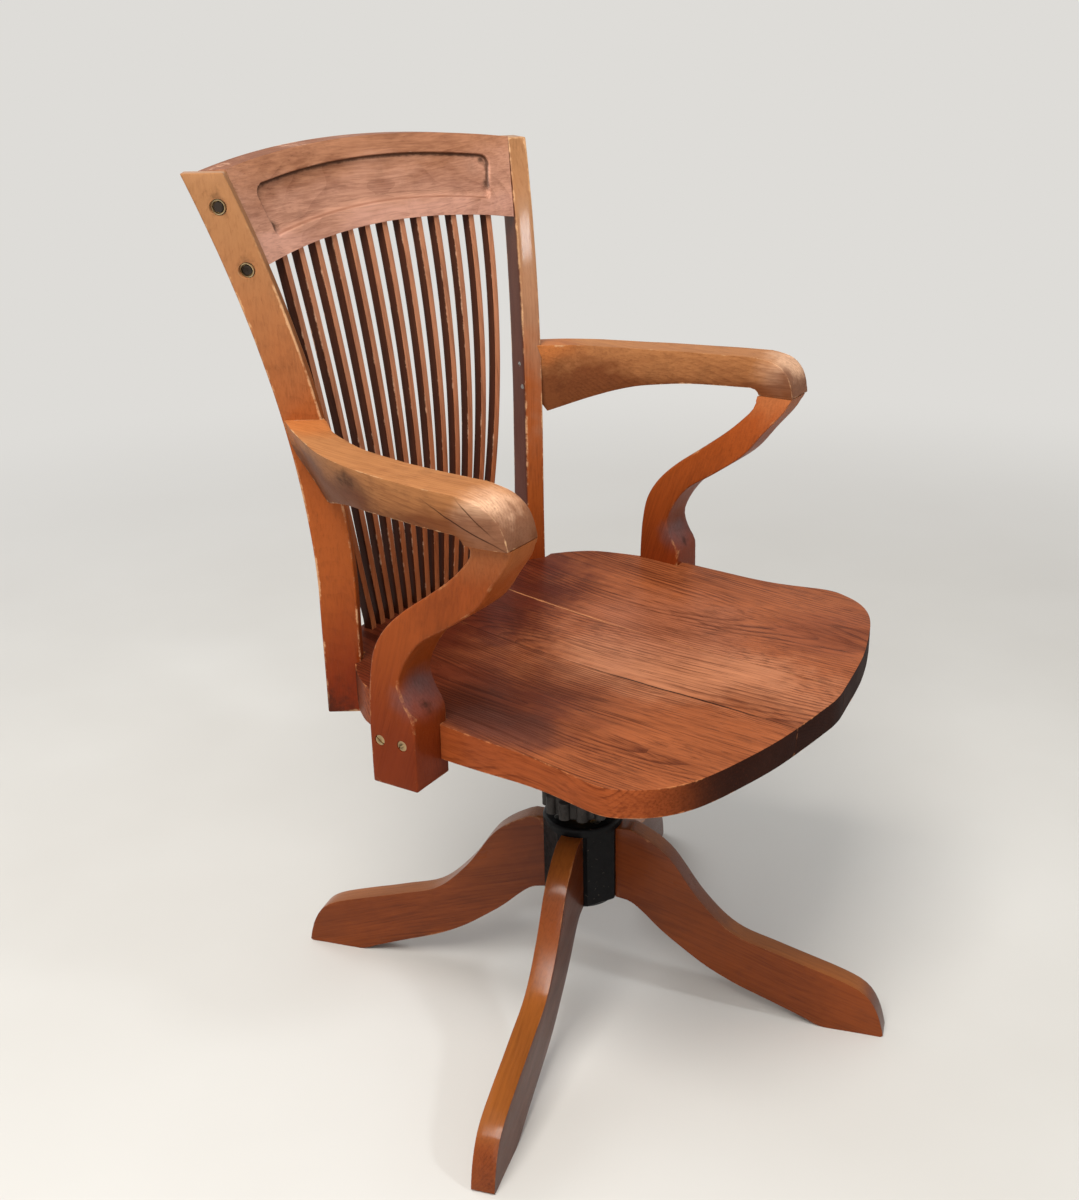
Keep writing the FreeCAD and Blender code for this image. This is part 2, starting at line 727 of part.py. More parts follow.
def deeper(places, distance):
    return [(point + V(direction).normalize() * distance, direction) for point, direction in places]


def rail_bolt():
    head = Part.makePolygon([polar(s.bolt_head_radius, 60 * corner, 0) for corner in range(7)])
    hexagon = Part.Face(head).extrude(V(0, 0, s.bolt_head))
    shank = screw_shank(s.bolt_radius, s.bolt_length)
    shank.translate(V(0, 0, s.bolt_head))
    return hexagon.fuse(shank).removeSplitter()


def cup_washer(height):
    """A thin cup, open at its start, with a hole in its floor for the bolt."""
    cup = Part.makeCylinder(s.bolt_cup_radius, height)
    head_room = Part.makeCylinder(s.bolt_cup_radius - s.bolt_cup_wall, height - s.bolt_cup)
    hole = Part.makeCylinder(s.bolt_radius + s.joint_gap, height)
    return cup.cut([head_room, hole])


def screw_shank(radius, length, tip=6.0):
    """A bare shank along +Z that ends in a point."""
    shank = Part.makeCylinder(radius, length - tip)
    point = Part.makeCone(radius, SCREW_POINT, tip, V(0, 0, length - tip))
    return shank.fuse(point).removeSplitter()


def post_screw_places():
    places = []
    for side in (RIGHT, LEFT):
        for height in (s.seat_bottom + 11, s.seat_bottom + 34):
            _, _, back, _ = post_frame(height, side)
            places.append((post_point(height, side, s.post_width / 2, s.post_depth), back * -1))
    return places


def arm_screw_places():
    places = []
    for side in (RIGHT, LEFT):
        for height, rearward in ((s.arm_joint + 0.5, 8.0), (s.arm_joint + 24.5, 14.0)):
            _, across, _, _ = post_frame(height, side)
            places.append((post_point(height, side, s.post_width, rearward), across * -1))
    return places


def post_screws(name, grow=0.0):
    length = s.post_depth + 26
    return shaped(name, placed(screw(*POST_SCREW, length, grow), post_screw_places()))


def arm_screws(name, grow=0.0):
    length = s.post_width + 15
    return shaped(name, placed(screw(*SMALL_SCREW, length, grow), arm_screw_places()))


# Top rail


def arch_height(x):
    return s.rail_arch - s.rail_arch_rise * (x / s.rail_half) ** 2


def rail_shell(label, front, back, low, high, angle):
    """A raked, bowed slab between two distances behind the rail's face."""
    body = new_body(label)
    centre = s.rail_face - s.rail_radius
    lean_low = (low - s.rail_arch) * s.rail_rake
    lean_high = (high - s.rail_arch) * s.rail_rake
    section = polygon(body, label + "_section", "YZ_Plane", (
        (s.rail_radius + lean_low + front, low), (s.rail_radius + lean_low + back, low),
        (s.rail_radius + lean_high + back, high), (s.rail_radius + lean_high + front, high),
    ), V(centre, 0, 0))
    turned(body, section, angle, symmetric=True)
    return body


def rail_window(label, half_low, half_high, low, low_rise, high, high_rise):
    """Front view of the rail or of its panel, as a block from front to back."""
    body = new_body(label)
    face = outline(body, label + "_face", "XZ_Plane", (-half_low, low - low_rise), (
        ("arc", (0.0, low), (half_low, low - low_rise)),
        ("line", (half_high, high - high_rise)),
        ("arc", (0.0, high), (-half_high, high - high_rise)),
        ("line", (-half_low, low - low_rise)),
    ), V(0, 0, -(s.rail_face + 10)))
    pad(body, face, THROUGH / 4, symmetric=True)
    return body


def make_rail():
    slab = rail_shell("rail_slab", 0.0, s.rail_depth, s.rail_arch - 30, s.rail_crest + 10, 26.0)
    block = rail_window("rail_block", s.rail_half, s.rail_half + 21, s.rail_arch, s.rail_arch_rise,
                        s.rail_crest, s.rail_crest_rise)
    blank = shared("rail_blank", slab, block)
    sink = rail_shell("panel_slab", -20.0, s.panel_sink, s.rail_arch - 10, s.rail_crest + 10, 24.0)
    window = rail_window("panel_block", s.panel_half_low, s.panel_half_top,
                         s.rail_arch + s.panel_margin, s.rail_arch_rise * 0.75,
                         s.rail_crest - s.panel_margin, s.rail_crest_rise * 0.8)
    panel = shared("panel_recess", sink, window)
    rail = without("rail", blank, panel, slat_sockets, posts[RIGHT], posts[LEFT], rail_bolt_holes)
    node(rail, "top_rail")


# Slats


def slat_pitch(height):
    share = (height - s.seat_bottom - s.seat_rear) / (s.rail_arch - 14 - s.seat_bottom - s.seat_rear)
    pitch = s.slat_pitch_low + (s.slat_pitch_high - s.slat_pitch_low) * share
    return pitch + s.slat_bow * 4 * share * (1 - share)


def slat_places(number):
    """Centre and turn of a slat's section at each height up the back."""
    offset = number - (s.slat_count - 1) / 2
    foot = s.seat_bottom + s.seat_rear - s.slat_tenon
    head = arch_height(offset * s.slat_pitch_high) + s.slat_tenon
    places = []
    for share in (0, 0.05, 0.2, 0.4, 0.6, 0.8, 0.93, 1):
        height = foot + (head - foot) * share
        x = offset * slat_pitch(max(height, s.seat_bottom + s.seat_rear))
        turn = math.asin(x / s.rail_radius)
        face = s.slat_face + s.slat_rake * post_lean(height) ** 2
        middle = face + s.slat_depth / 2 - s.rail_radius * (1 - math.cos(turn))
        places.append((V(x, middle, height), -math.degrees(turn)))
    return places


def make_slats():
    for number in range(int(s.slat_count)):
        label = "slat_%02d" % (number + 1)
        body = new_body(label)
        sections = [rectangle(body, label + "_section%d" % step, "XY_Plane", s.slat_width, s.slat_depth,
                              centre, turn)
                    for step, (centre, turn) in enumerate(slat_places(number))]
        lofted(body, sections)
        node(body, label)


def slat_socket(number):
    """A slat's own shape, larger all round by the joint clearance."""
    half_x = s.slat_width / 2 + s.joint_gap
    half_y = s.slat_depth / 2 + s.joint_gap
    corners = [V(-half_x, -half_y, 0), V(half_x, -half_y, 0), V(half_x, half_y, 0), V(-half_x, half_y, 0)]
    wires = []
    places = slat_places(number)
    for step, (centre, turn) in enumerate(places):
        wire = Part.makePolygon(corners + corners[:1])
        lengthen = {0: -0.3, len(places) - 1: 0.3}.get(step, 0.0)
        wire.Placement = FreeCAD.Placement(centre + V(0, 0, lengthen), FreeCAD.Rotation(V(0, 0, 1), turn))
        wires.append(wire)
    return Part.makeLoft(wires, True, False)


# Seat


def seat_outline(body):
    """Plan outline of the seat, with a notch round each back post."""
    height = s.seat_bottom
    gap = s.joint_gap
    back_inner = post_point(height, LEFT, s.post_width + gap, s.post_depth)
    front_inner = post_point(height, LEFT, s.post_width + gap, -gap)
    front_outer = post_point(height, LEFT, 0, -gap)
    side = (
        (s.seat_corner, front_outer.y - 1),
        (s.seat_corner + 20, s.post_y - 21), (s.seat_corner + 37, s.post_y - 47),
        (s.seat_half_width - 12, s.post_y - 97), (s.seat_half_width - 3, 5.0),
        (s.seat_half_width, -45.0), (s.seat_half_width + 1, -85.0),
        (s.seat_half_front - 10, 167 - s.seat_depth), (s.seat_half_front, 115 - s.seat_depth),
        (s.seat_half_front - 8, 87 - s.seat_depth), (s.seat_half_front - 26, 63 - s.seat_depth),
        (s.seat_half_front - 54, 44 - s.seat_depth), (s.seat_half_front - 96, 29 - s.seat_depth),
        (s.seat_half_front - 160, 13 - s.seat_depth), (0.0, -s.seat_depth),
    )
    mirror = [(-x, y) for x, y in reversed(side[:-1])]
    inward = [(front_outer.x, front_outer.y), (front_inner.x, front_inner.y), (back_inner.x, back_inner.y)]
    other = [(-x, y) for x, y in reversed(inward)]
    start = inward[-1]
    return outline(body, "seat_plan", "XY_Plane", start, (
        ("line", inward[1]),
        ("line", inward[0]),
        ("line", side[0]),
        ("curve", *side[1:], *mirror),
        ("line", other[2]),
        ("line", other[1]),
        ("line", other[0]),
        ("arc", (0.0, s.seat_back), start),
    ), V(0, 0, height))


def seat_edge_picker(wanted_height):
    def wanted(edge):
        box = edge.BoundBox
        return box.YMin < -200 and box.XLength > 400 and wanted_height(box)

    return wanted


def seat_blank():
    body = new_body("seat_blank")
    slab = pad(body, seat_outline(body), s.seat_rear)
    rear_top = s.seat_bottom + s.seat_rear
    front_top = s.seat_bottom + s.seat_front
    above = outline(body, "seat_fall", "YZ_Plane", (s.post_y + 8, rear_top + 0.5), (
        ("curve", (20.0, rear_top - 10), (-120.0, front_top + 2), (-(s.seat_depth + 13), front_top)),
        ("line", (-(s.seat_depth + 13), rear_top + 5)),
        ("line", (s.post_y + 8, rear_top + 5)),
        ("line", (s.post_y + 8, rear_top + 0.5)),
    ), V(0, 0, -THROUGH / 2))
    fall = pocket(body, above, THROUGH, along_normal=True)
    low_edges = seat_edge_picker(lambda box: box.ZMax < s.seat_bottom + 1)
    high_edges = seat_edge_picker(lambda box: box.ZMin > s.seat_bottom + 15)
    lower = dress(body, "Fillet", fall, low_edges, s.seat_edge)
    dress(body, "Chamfer", lower, high_edges, s.seat_rim)
    return body


def seat_hollow():
    ball = doc.addObject("Part::Sphere", "seat_hollow")
    radius = (s.dish_radius * s.dish_radius + s.dish_depth * s.dish_depth) / (2 * s.dish_depth)
    ball.Radius = float(radius)
    ball.setExpression("Radius", radius.text)
    lowest = s.seat_bottom + s.seat_front + 3.5 - s.dish_depth
    poles_level = FreeCAD.Rotation(V(1, 0, 0), 90)
    ball.Placement = FreeCAD.Placement(V(0, s.dish_middle, lowest + radius), poles_level)
    return ball


def support_notches():
    gap = s.joint_gap
    inner = s.support_outer - s.support_width - gap
    boxes = []
    for side in (RIGHT, LEFT):
        low_x = inner if side == LEFT else -inner - 60
        boxes.append(Part.makeBox(60, s.support_rear - s.support_front + 2 * gap, 80,
                                  V(low_x, s.support_front - gap, s.seat_bottom - 10)))
    return shaped("support_notches", Part.makeCompound(boxes))


def board_direction():
    angle = math.radians(s.board_turn)
    return V(math.sin(angle), math.cos(angle), 0)


def joint_point(joint, y):
    """A point on a board joint, given as its distance across at the board line."""
    return V(joint + math.tan(math.radians(s.board_turn)) * (y - s.board_line), y, s.seat_dowel_height)


def seat_dowels(name, grow=0.0):
    along = board_direction()
    across = V(along.y, -along.x, 0)
    length = s.dowel_length + 2 * grow
    dowels = []
    for joint in (s.board_right, s.board_left):
        for y in SEAT_DOWEL_PLACES:
            start = joint_point(joint, y) - across * (length / 2)
            dowels.append(Part.makeCylinder(s.dowel_radius + grow, length, start, across))
    return shaped(name, Part.makeCompound(dowels))


def board_slab(name, low, high):
    """Upright slab between two board joints, each given across at the board line."""
    slab = doc.addObject("Part::Box", name)
    slab.Length = high - low
    slab.Width = THROUGH
    slab.Height = s.seat_rear + 60
    turn = FreeCAD.Rotation(V(0, 0, 1), -s.board_turn)
    corner = V(low, s.board_line, s.seat_bottom - 30) - board_direction() * (THROUGH / 2)
    slab.Placement = FreeCAD.Placement(corner, turn)
    return slab


def make_seat():
    carved = without("seat_carved", seat_blank(), seat_hollow(), support_notches(), slat_sockets,
                     spider_screw_holes, post_screw_holes, support_screw_holes, seat_dowel_holes)
    shrink = math.cos(math.radians(s.board_turn))
    half_gap = s.joint_gap / 2
    first, second = s.board_right, s.board_left
    slabs = (
        ("right", first - THROUGH / 2, first - half_gap),
        ("middle", first + half_gap, second - half_gap),
        ("left", second + half_gap, second + THROUGH / 2),
    )
    for name, low, high in slabs:
        slab = board_slab("slab_" + name, float(low), low + (high - low) * shrink)
        node(shared("seat_board_" + name, carved, slab), "seat_board_" + name)


# Arms


def arm_section(body, name, side, y, outer, inner, undercut, top):
    """Upright cross-section of an arm: its outer side leans in towards the bottom."""
    low = s.arm_joint - 30
    corners = (
        (side * (outer - undercut), low), (side * outer, top),
        (side * inner, top), (side * inner, low),
    )
    return polygon(body, name, "XZ_Plane", corners, V(0, 0, -y))


def arm_blank(label, side):
    body = new_body(label)
    outer, inner = s.arm_outer, s.arm_inner
    post = s.post_y
    stations = (
        (-(s.arm_front + 6), outer - 3, inner - 3, 8.0, 0.0),
        (-85.0, outer, inner, 8.0, 0.0),
        (-40.0, outer - 4, inner - 3, 10.0, 0.0),
        (8.0, outer - 12, inner - 9, 15.0, 0.0),
        (42.0, outer - 20, inner - 16, 21.0, 0.05),
        (74.0, outer - 30, inner - 24, 29.0, 0.15),
        (103.0, outer - 42, inner - 36, 35.0, 0.4),
        (130.0, outer - 58, inner - 50, 35.0, 0.75),
        (post + 8, outer - 78, s.post_x + 16, 39.0, 1.0),
        (post + 24, outer - 91, s.post_x + 11, 32.0, 1.0),
        (post + 38, outer - 102.5, s.post_x + 20, 14.0, 1.0),
    )
    sections = []
    for number, (y, far, near, undercut, rise) in enumerate(stations):
        sections.append(arm_section(body, label + "_section%d" % number, side, y, far, near, undercut,
                                    s.arm_top + s.arm_rear_rise * rise))
    lofted(body, sections)
    return body


def arm_profile(label):
    """Side view of an arm: rolled front, level joint, and a rear end cut back to the post."""
    body = new_body(label)
    front = -s.arm_front
    over = s.arm_top + 15
    joint = s.arm_joint + s.joint_gap
    side = outline(body, label + "_side", "YZ_Plane", (-74.0, s.arm_top + 2), (
        ("arc", (-109.5, s.arm_top - 13), (front, joint)),
        ("line", (-64.0, joint)),
        ("line", (-60.0, s.arm_under + 1)),
        ("curve", (0.0, s.arm_under - 0.5), (42.0, s.arm_under - 4), (75.0, s.arm_under - 9),
         (110.0, s.arm_under - 19), (s.post_y + 5, s.arm_under - 36)),
        ("curve", (s.post_y + 20, s.arm_under - 11), (s.post_y + 34, s.arm_under + 14),
         (s.post_y + 40, s.arm_under + 36), (s.post_y + 44, over)),
        ("line", (-74.0, over)),
        ("line", (-74.0, s.arm_top + 2)),
    ))
    pad(body, side, THROUGH, symmetric=True)
    return body


def arm_dowels(name, grow=0.0):
    dowels = []
    for side in (RIGHT, LEFT):
        for y in ARM_DOWEL_PLACES:
            x = side * (s.arm_outer + s.arm_inner) / 2
            start = V(x, y, s.arm_joint - s.arm_dowel_length / 2 - grow)
            dowels.append(Part.makeCylinder(s.dowel_radius + grow, s.arm_dowel_length + 2 * grow, start))
    return shaped(name, Part.makeCompound(dowels))


def make_arms():
    for side, name in ((RIGHT, "right"), (LEFT, "left")):
        blank = arm_blank("arm_blank_" + name, side)
        block = shared("arm_rolled_" + name, blank, arm_profile("arm_profile_" + name))
        arm = without("arm_" + name, block, posts[side], arm_dowel_holes, arm_screw_holes)
        node(arm, "arm_" + name)


def support_side(label):
    """Side view of an arm support: a straight foot, then a double curve forward to the arm."""
    body = new_body(label)
    front, rear = s.support_front, s.support_rear
    top = s.arm_joint
    nose = -(s.arm_front - 0.5)
    side = outline(body, label + "_side", "YZ_Plane", (front, s.support_foot), (
        ("line", (rear, s.support_foot)),
        ("line", (rear, s.support_foot + 60)),
        ("curve", (rear - 1, 465.0), (rear - 3, 487.0), (rear - 9, 516.0), (rear - 23, 540.0),
         (rear - 44, 562.0), (rear - 74, 584.5), (rear - 101, top - 40), (rear - 117, top - 19),
         (-65.0, top)),
        ("line", (nose, top)),
        ("curve", (nose + 8, top - 16), (nose + 26, top - 38), (-70.0, 580.0), (-37.0, 555.5),
         (-8.0, 536.5), (8.0, 518.0), (18.0, 499.0), (20.0, 487.0), (15.0, 472.0), (front, 455.0)),
        ("line", (front, s.support_foot)),
    ))
    pad(body, side, THROUGH, symmetric=True)
    return body


def support_front_view(label, side):
    """Front view of a support: upright by the seat, then spreading outwards and thinner at the arm."""
    body = new_body(label)
    top = s.arm_joint
    foot, outer = s.support_foot, s.support_outer
    inner = outer - s.support_width
    face = outline(body, label + "_face", "XZ_Plane", (side * outer, foot), (
        ("line", (side * outer, 516.0)),
        ("curve", (side * (outer + 2.5), 560.0), (side * (outer + 9), 604.0),
         (side * (outer + s.support_flare), top)),
        ("line", (side * (s.arm_inner - 3), top)),
        ("curve", (side * (inner + 13), 604.0), (side * (inner + 3), 560.0), (side * inner, 516.0)),
        ("line", (side * inner, foot)),
        ("line", (side * outer, foot)),
    ))
    pad(body, face, THROUGH, symmetric=True)
    return body


def support_screws(name, grow=0.0):
    places = []
    for side in (RIGHT, LEFT):
        for y in (s.support_rear - 11, s.support_front + 15):
            places.append((V(side * s.support_outer, y, s.seat_bottom + 27), V(-side, 0, 0)))
    return shaped(name, placed(screw(*SUPPORT_SCREW, SUPPORT_SCREW_LENGTH, grow), places))


def make_supports():
    for side, name in ((RIGHT, "right"), (LEFT, "left")):
        block = shared("support_block_" + name, support_side("support_side_" + name),
                       support_front_view("support_view_" + name, side))
        support = without("support_" + name, block, arm_dowel_holes, support_screw_holes)
        node(support, "arm_support_" + name)


def checked_shape(part):
    """A node's shape with its placement, after the object and its shape are found sound."""
    shape = part.Shape
    if shape.isNull() or not shape.isValid() or not shape.Solids:
        raise ValueError("bad shape: " + part.Label)
    return shape


def write_parts():
    doc.recompute()
    bad = [one.Name for one in doc.Objects if "Invalid" in one.State or "Error" in one.State]
    if bad:
        raise ValueError("failed objects: " + ", ".join(bad))
    shapes = [(part.Label, checked_shape(part)) for part in nodes]
    os.makedirs("parts", exist_ok=True)
    for label, shape in shapes:
        shape.exportStep(os.path.join("parts", label + ".step"))
        print(label, len(shape.Solids), "solid(s)", round(shape.Volume / 1000, 1), "cm3")


# Cutting tools that several pieces share
room = s.joint_gap
posts = {}
hub_screw_holes = hub_screws("hub_screw_holes", s.hub_top + s.cap_height, -1, room)
plate_screw_holes = hub_screws("plate_screw_holes", s.hub_bottom - s.plate_height, 1, room)
pin_hole = cross_pin("pin_hole", s.pin_radius + room, 2 * s.boss_radius + 20)
spider_screw_holes = spider_screws("spider_screw_holes", room)
slat_sockets = shaped("slat_sockets",
                      Part.makeCompound([slat_socket(number) for number in range(int(s.slat_count))]))
bolt_places = rail_bolt_places()
rail_bolt_holes = shaped("rail_bolt_holes", placed(
    screw_shank(s.bolt_radius + room, s.bolt_length + 2), deeper(bolt_places, s.bolt_sink - 1)))
rail_washer_holes = shaped("rail_washer_holes", placed(
    Part.makeCylinder(s.bolt_cup_radius + 0.4, s.bolt_sink + 10), deeper(bolt_places, -10)))
post_screw_holes = post_screws("post_screw_holes", room)
arm_screw_holes = arm_screws("arm_screw_holes", room)
arm_dowel_holes = arm_dowels("arm_dowel_holes", room)
support_screw_holes = support_screws("support_screw_holes", room)
seat_dowel_holes = seat_dowels("seat_dowel_holes", room)

make_hub()
for quarter, name in enumerate(("left", "back", "right", "front")):
    make_leg(quarter, "leg_" + name)
make_hub_cap()
make_hub_plate()
make_sleeve()
node(hub_screws("hub_cap_screws", s.hub_top + s.cap_height, -1), "hub_cap_screws")
node(hub_screws("hub_plate_screws", s.hub_bottom - s.plate_height, 1), "hub_plate_screws")
make_thrust_washer()
make_height_nut()
make_spindle()
node(cross_pin("spindle_pin", s.pin_radius, 2 * s.boss_radius + 5), "spindle_pin")
make_spider()
node(spider_screws("spider_screws"), "spider_screws")
make_posts()
make_rail()
head_depth = s.bolt_sink - s.joint_gap - s.bolt_cup - s.joint_gap - s.bolt_head
node(shaped("rail_bolts", placed(rail_bolt(), deeper(bolt_places, head_depth))), "rail_bolts")
cup = cup_washer(s.bolt_sink - s.joint_gap - s.bolt_cup_rim)
node(shaped("rail_bolt_washers", placed(cup, deeper(bolt_places, s.bolt_cup_rim))), "rail_bolt_washers")
make_slats()
make_seat()
node(seat_dowels("seat_dowels"), "seat_dowels")
make_arms()
make_supports()
node(arm_dowels("arm_dowels"), "arm_dowels")
node(post_screws("post_screws"), "post_screws")
node(arm_screws("arm_screws"), "arm_screws")
node(support_screws("support_screws"), "support_screws")
write_parts()
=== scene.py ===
import math

import bmesh
import bpy
from mathutils import Euler, Matrix, Vector, kdtree, noise


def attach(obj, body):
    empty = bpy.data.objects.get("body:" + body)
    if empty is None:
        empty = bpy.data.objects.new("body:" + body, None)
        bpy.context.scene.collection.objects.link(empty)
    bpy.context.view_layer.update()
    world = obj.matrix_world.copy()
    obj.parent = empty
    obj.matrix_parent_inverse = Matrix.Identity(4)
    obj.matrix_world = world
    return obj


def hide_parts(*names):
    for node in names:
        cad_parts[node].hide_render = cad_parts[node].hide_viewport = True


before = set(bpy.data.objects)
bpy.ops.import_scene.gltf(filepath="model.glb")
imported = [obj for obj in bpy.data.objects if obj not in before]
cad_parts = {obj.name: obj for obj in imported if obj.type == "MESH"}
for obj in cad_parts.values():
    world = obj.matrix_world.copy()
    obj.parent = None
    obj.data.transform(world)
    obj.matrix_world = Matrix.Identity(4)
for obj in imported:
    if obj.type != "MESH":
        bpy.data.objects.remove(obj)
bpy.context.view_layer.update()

MM = 0.001
RIGHT = -1
LEFT = 1
SIDES = (RIGHT, LEFT)

# Camera, solved from the photograph: place, direction and framing.
CAMERA_PLACE = (-1.1974, -0.7141, 1.0292)
CAMERA_YAW = 59.9
CAMERA_PITCH = 22.0
CAMERA_ROLL = 0.4
PICTURE_WIDTH = 1079
PICTURE_HEIGHT = 1200
FOCAL_PIXELS = 1438.6
PICTURE_CENTRE = (596.9, 609.4)
SENSOR_WIDTH = 36.0

# Edges that turn outwards by more than this, in radians, show wear.
SHARP = 0.24

# Hand-work on the faces: how many ripples to a metre.
RIPPLE_PITCH = 28

# How far the edges of each kind of piece are rounded, and the chamfer under the seat.
POST_EASE = 1.6 * MM
SLAT_EASE = 1.0 * MM
RAIL_EASE = 1.8 * MM
ARM_EASE = 3.4 * MM
NOSE_EASE = 7 * MM
SUPPORT_EASE = 2.2 * MM
SEAT_EASE = 3 * MM
SEAT_CHAMFER = 4 * MM
LEG_EASE = 3 * MM

# Room that is left round a post where another piece is cut for it.
JOINT_GAP = 0.1 * MM

# Back posts: section, how they stand in the seat, where they bend and how far they lean.
POST_WIDTH = 22 * MM
POST_DEPTH = 37 * MM
POST_TURN = math.radians(32)
POST_TWIST = math.radians(5)
POST_FOOT = 386 * MM
POST_BEND = 516 * MM
POST_RISE = 397 * MM
POST_TOP = 916 * MM
POST_X = 175 * MM
POST_Y = 152 * MM
POST_FLARE = 66 * MM
POST_FLARE_POWER = 1.65
POST_RAKE = 56 * MM
BOLT_STAIN = 13 * MM
BOLT_STAIN_RISE = 9 * MM
# Reach of the painted shadow that the support and seat cast on the back of each post's foot.
FOOT_SHADOW = 55 * MM

# Top rail: a bowed board with an arched lower edge, a crest and a sunk panel.
RAIL_BOW = 1200 * MM
RAIL_FACE = 224.5 * MM
RAIL_RAKE = 0.27
RAIL_DEPTH = 24 * MM
RAIL_ARCH = 848 * MM
RAIL_ARCH_RISE = 17 * MM
RAIL_CREST = 931 * MM
RAIL_CREST_RISE = 15 * MM
RAIL_HALF = 213 * MM
RAIL_CREST_HALF = 234 * MM
RAIL_MIDDLE = 888 * MM
RAIL_BLANK_LOW = 216 * MM
RAIL_BLANK_HIGH = 240 * MM
RAIL_LAP_LOW = 780 * MM
RAIL_LAP_HIGH = 960 * MM
PANEL_LOW = 867 * MM
PANEL_LOW_DROP = 12.75 * MM
PANEL_LOW_HALF = 177 * MM
PANEL_HIGH = 912 * MM
PANEL_HIGH_DROP = 12 * MM
PANEL_HIGH_HALF = 187 * MM
PANEL_CORNER = 9 * MM
PANEL_SINK = 4 * MM
PANEL_SLOPE = 1.3
PANEL_WALL = ((-3.0, 0), (-1.6, 0), (-0.6, 0.1), (0.1, 0.7), (0.6, 1.9), (1.2, 3.1), (2.0, 3.8), (3.0, 4.0),
              (5.5, 4.0))
PANEL_ALONG = 34
PANEL_TURN = 6
PANEL_UP = 6

# Dirt and painted shade in the panel's corners (x, height and amount, in millimetres), and a painted shadow
# along the upper part of its groove.
PANEL_CORNER_DIRT_AND_SHADE = ((178, 894, 0.9), (176, 868, 0.9), (-177, 893, 0.6), (-173, 862, 0.9))
PANEL_CORNER_DARK_SIZE = 10 * MM
GROOVE_INSET = 1.4 * MM
GROOVE_DEPTH = 3.4 * MM
GROOVE_SHADOW_SIZE = 3.6 * MM
GROOVE_SHADOW_RISE = 12 * MM

# Rail bolts: height and climb of each, how far they slant, and their counterbores.
BOLT_HEIGHTS = ((832 * MM, 0.2), (887 * MM, 0.03))
BOLT_SLANT = math.radians(16)
BOLT_SINK = 6 * MM
BOLT_HOLE = 7 * MM

# Slats of the back.
SLAT_COUNT = 13
SLAT_WIDTH = 9 * MM
SLAT_DEPTH = 10 * MM
SLAT_FOOT = 437 * MM
SLAT_SHOULDER = 450 * MM
SLAT_RISE = 384 * MM
SLAT_PITCH_LOW = 17.2 * MM
SLAT_PITCH_GAIN = 10.9 * MM
SLAT_PITCH_SWELL = 5.6 * MM
SLAT_PITCH_HIGH = 28.1 * MM
SLAT_FACE = 196.5 * MM
SLAT_RAKE = 43.5 * MM
SLAT_TENON = 13 * MM

# Seat: outline of the left half from the post's notch to the front, then the scooped top. The
# outline, the fall to the front and the notches for the supports are in millimetres.
SEAT_BOTTOM = 402 * MM
SEAT_REAR_TOP = 450 * MM
SEAT_BACK = 214 * MM
SEAT_SIDE = ((186, 151), (206, 131), (223, 105), (237, 55), (246, 5), (249, -45), (250, -85),
             (254, -120), (264, -172), (256, -200), (238, -224), (210, -243), (168, -258),
             (104, -274), (20, -285.7), (0, -287))
SEAT_FALL = ((160, 450.5), (20, 440), (-120, 432), (-300, 430))
DISH_CENTRE = (0.0, -75 * MM)
DISH_LOWEST = 427.5 * MM
DISH_SPHERE = 2.643
BOARD_TURN = math.radians(7)
BOARD_RIGHT = -60 * MM
BOARD_LEFT = 44 * MM
BOARD_LINE = -120 * MM
BOARD_GAP = 0.05 * MM
SEAT_MIDDLE = -20 * MM
NOTCH_LOW = (233.9, 4.9, 380)
NOTCH_HIGH = (300, 56.1, 480)
SEAT_STAIN = ((-170 * MM, 45 * MM, 440 * MM), 16 * MM, 0.4)

# Arms, in millimetres: stations from the front to the post, each y, outer x, inner x, undercut
# and share of the rear rise; then the edges in side view; then stains, place, size and amount.
ARM_STATIONS = ((-124.5, 313, 264, 8, 0), (-85, 316, 267, 8, 0), (-40, 312, 264, 10, 0),
                (8, 304, 258, 15, 0), (42, 296, 251, 21, 0.05), (74, 286, 243, 29, 0.15),
                (103, 274, 231, 35, 0.4), (130, 258, 217, 35, 0.75), (160, 238, 191, 39, 1),
                (176, 225, 186, 32, 1), (190, 213.5, 195, 14, 1))
ARM_TOP = 688
ARM_REAR_RISE = 5
ARM_JOINT = 645.6
ARM_BACK_END = 191
ARM_UNDER = ((-60, 653), (0, 651.5), (42, 648), (75, 643), (110, 633), (157, 616))
ARM_REAR = ((157, 616), (172, 641), (186, 666), (192, 688))
ARM_CORNER = ((-71.5, -76.4, 646), (-69, -75.2, 649), (-66.5, -72, 651.8), (-63.5, -66.5, 653.2))
ARM_NOSE = ((-74, 688), (-96, 683), (-109.5, 673), (-116, 660), (-118.5, 646.5))
NOSE_BOTTOM = (-117.6, -78.5)
UNDERCUT_BELOW_JOINT = 30
ARM_END_THICK = 3
ARM_STAINS = ((290, 60, 674, 17, 0.85), (283, 74, 670, 13, 0.8), (296, 40, 668, 11, 0.7))

# How far the edges of the arm's joint and of the nose's sides reach, and where the post passes.
ARM_JOINT_HIGH = 655 * MM
ARM_JOINT_BACK = -50 * MM
NOSE_SIDE_LOW = 650 * MM
NOSE_SIDE_BACK = -78 * MM
NOSE_SIDE_RUN = 4 * MM
ARM_LAP_LOW = 560 * MM
ARM_LAP_HIGH = 800 * MM

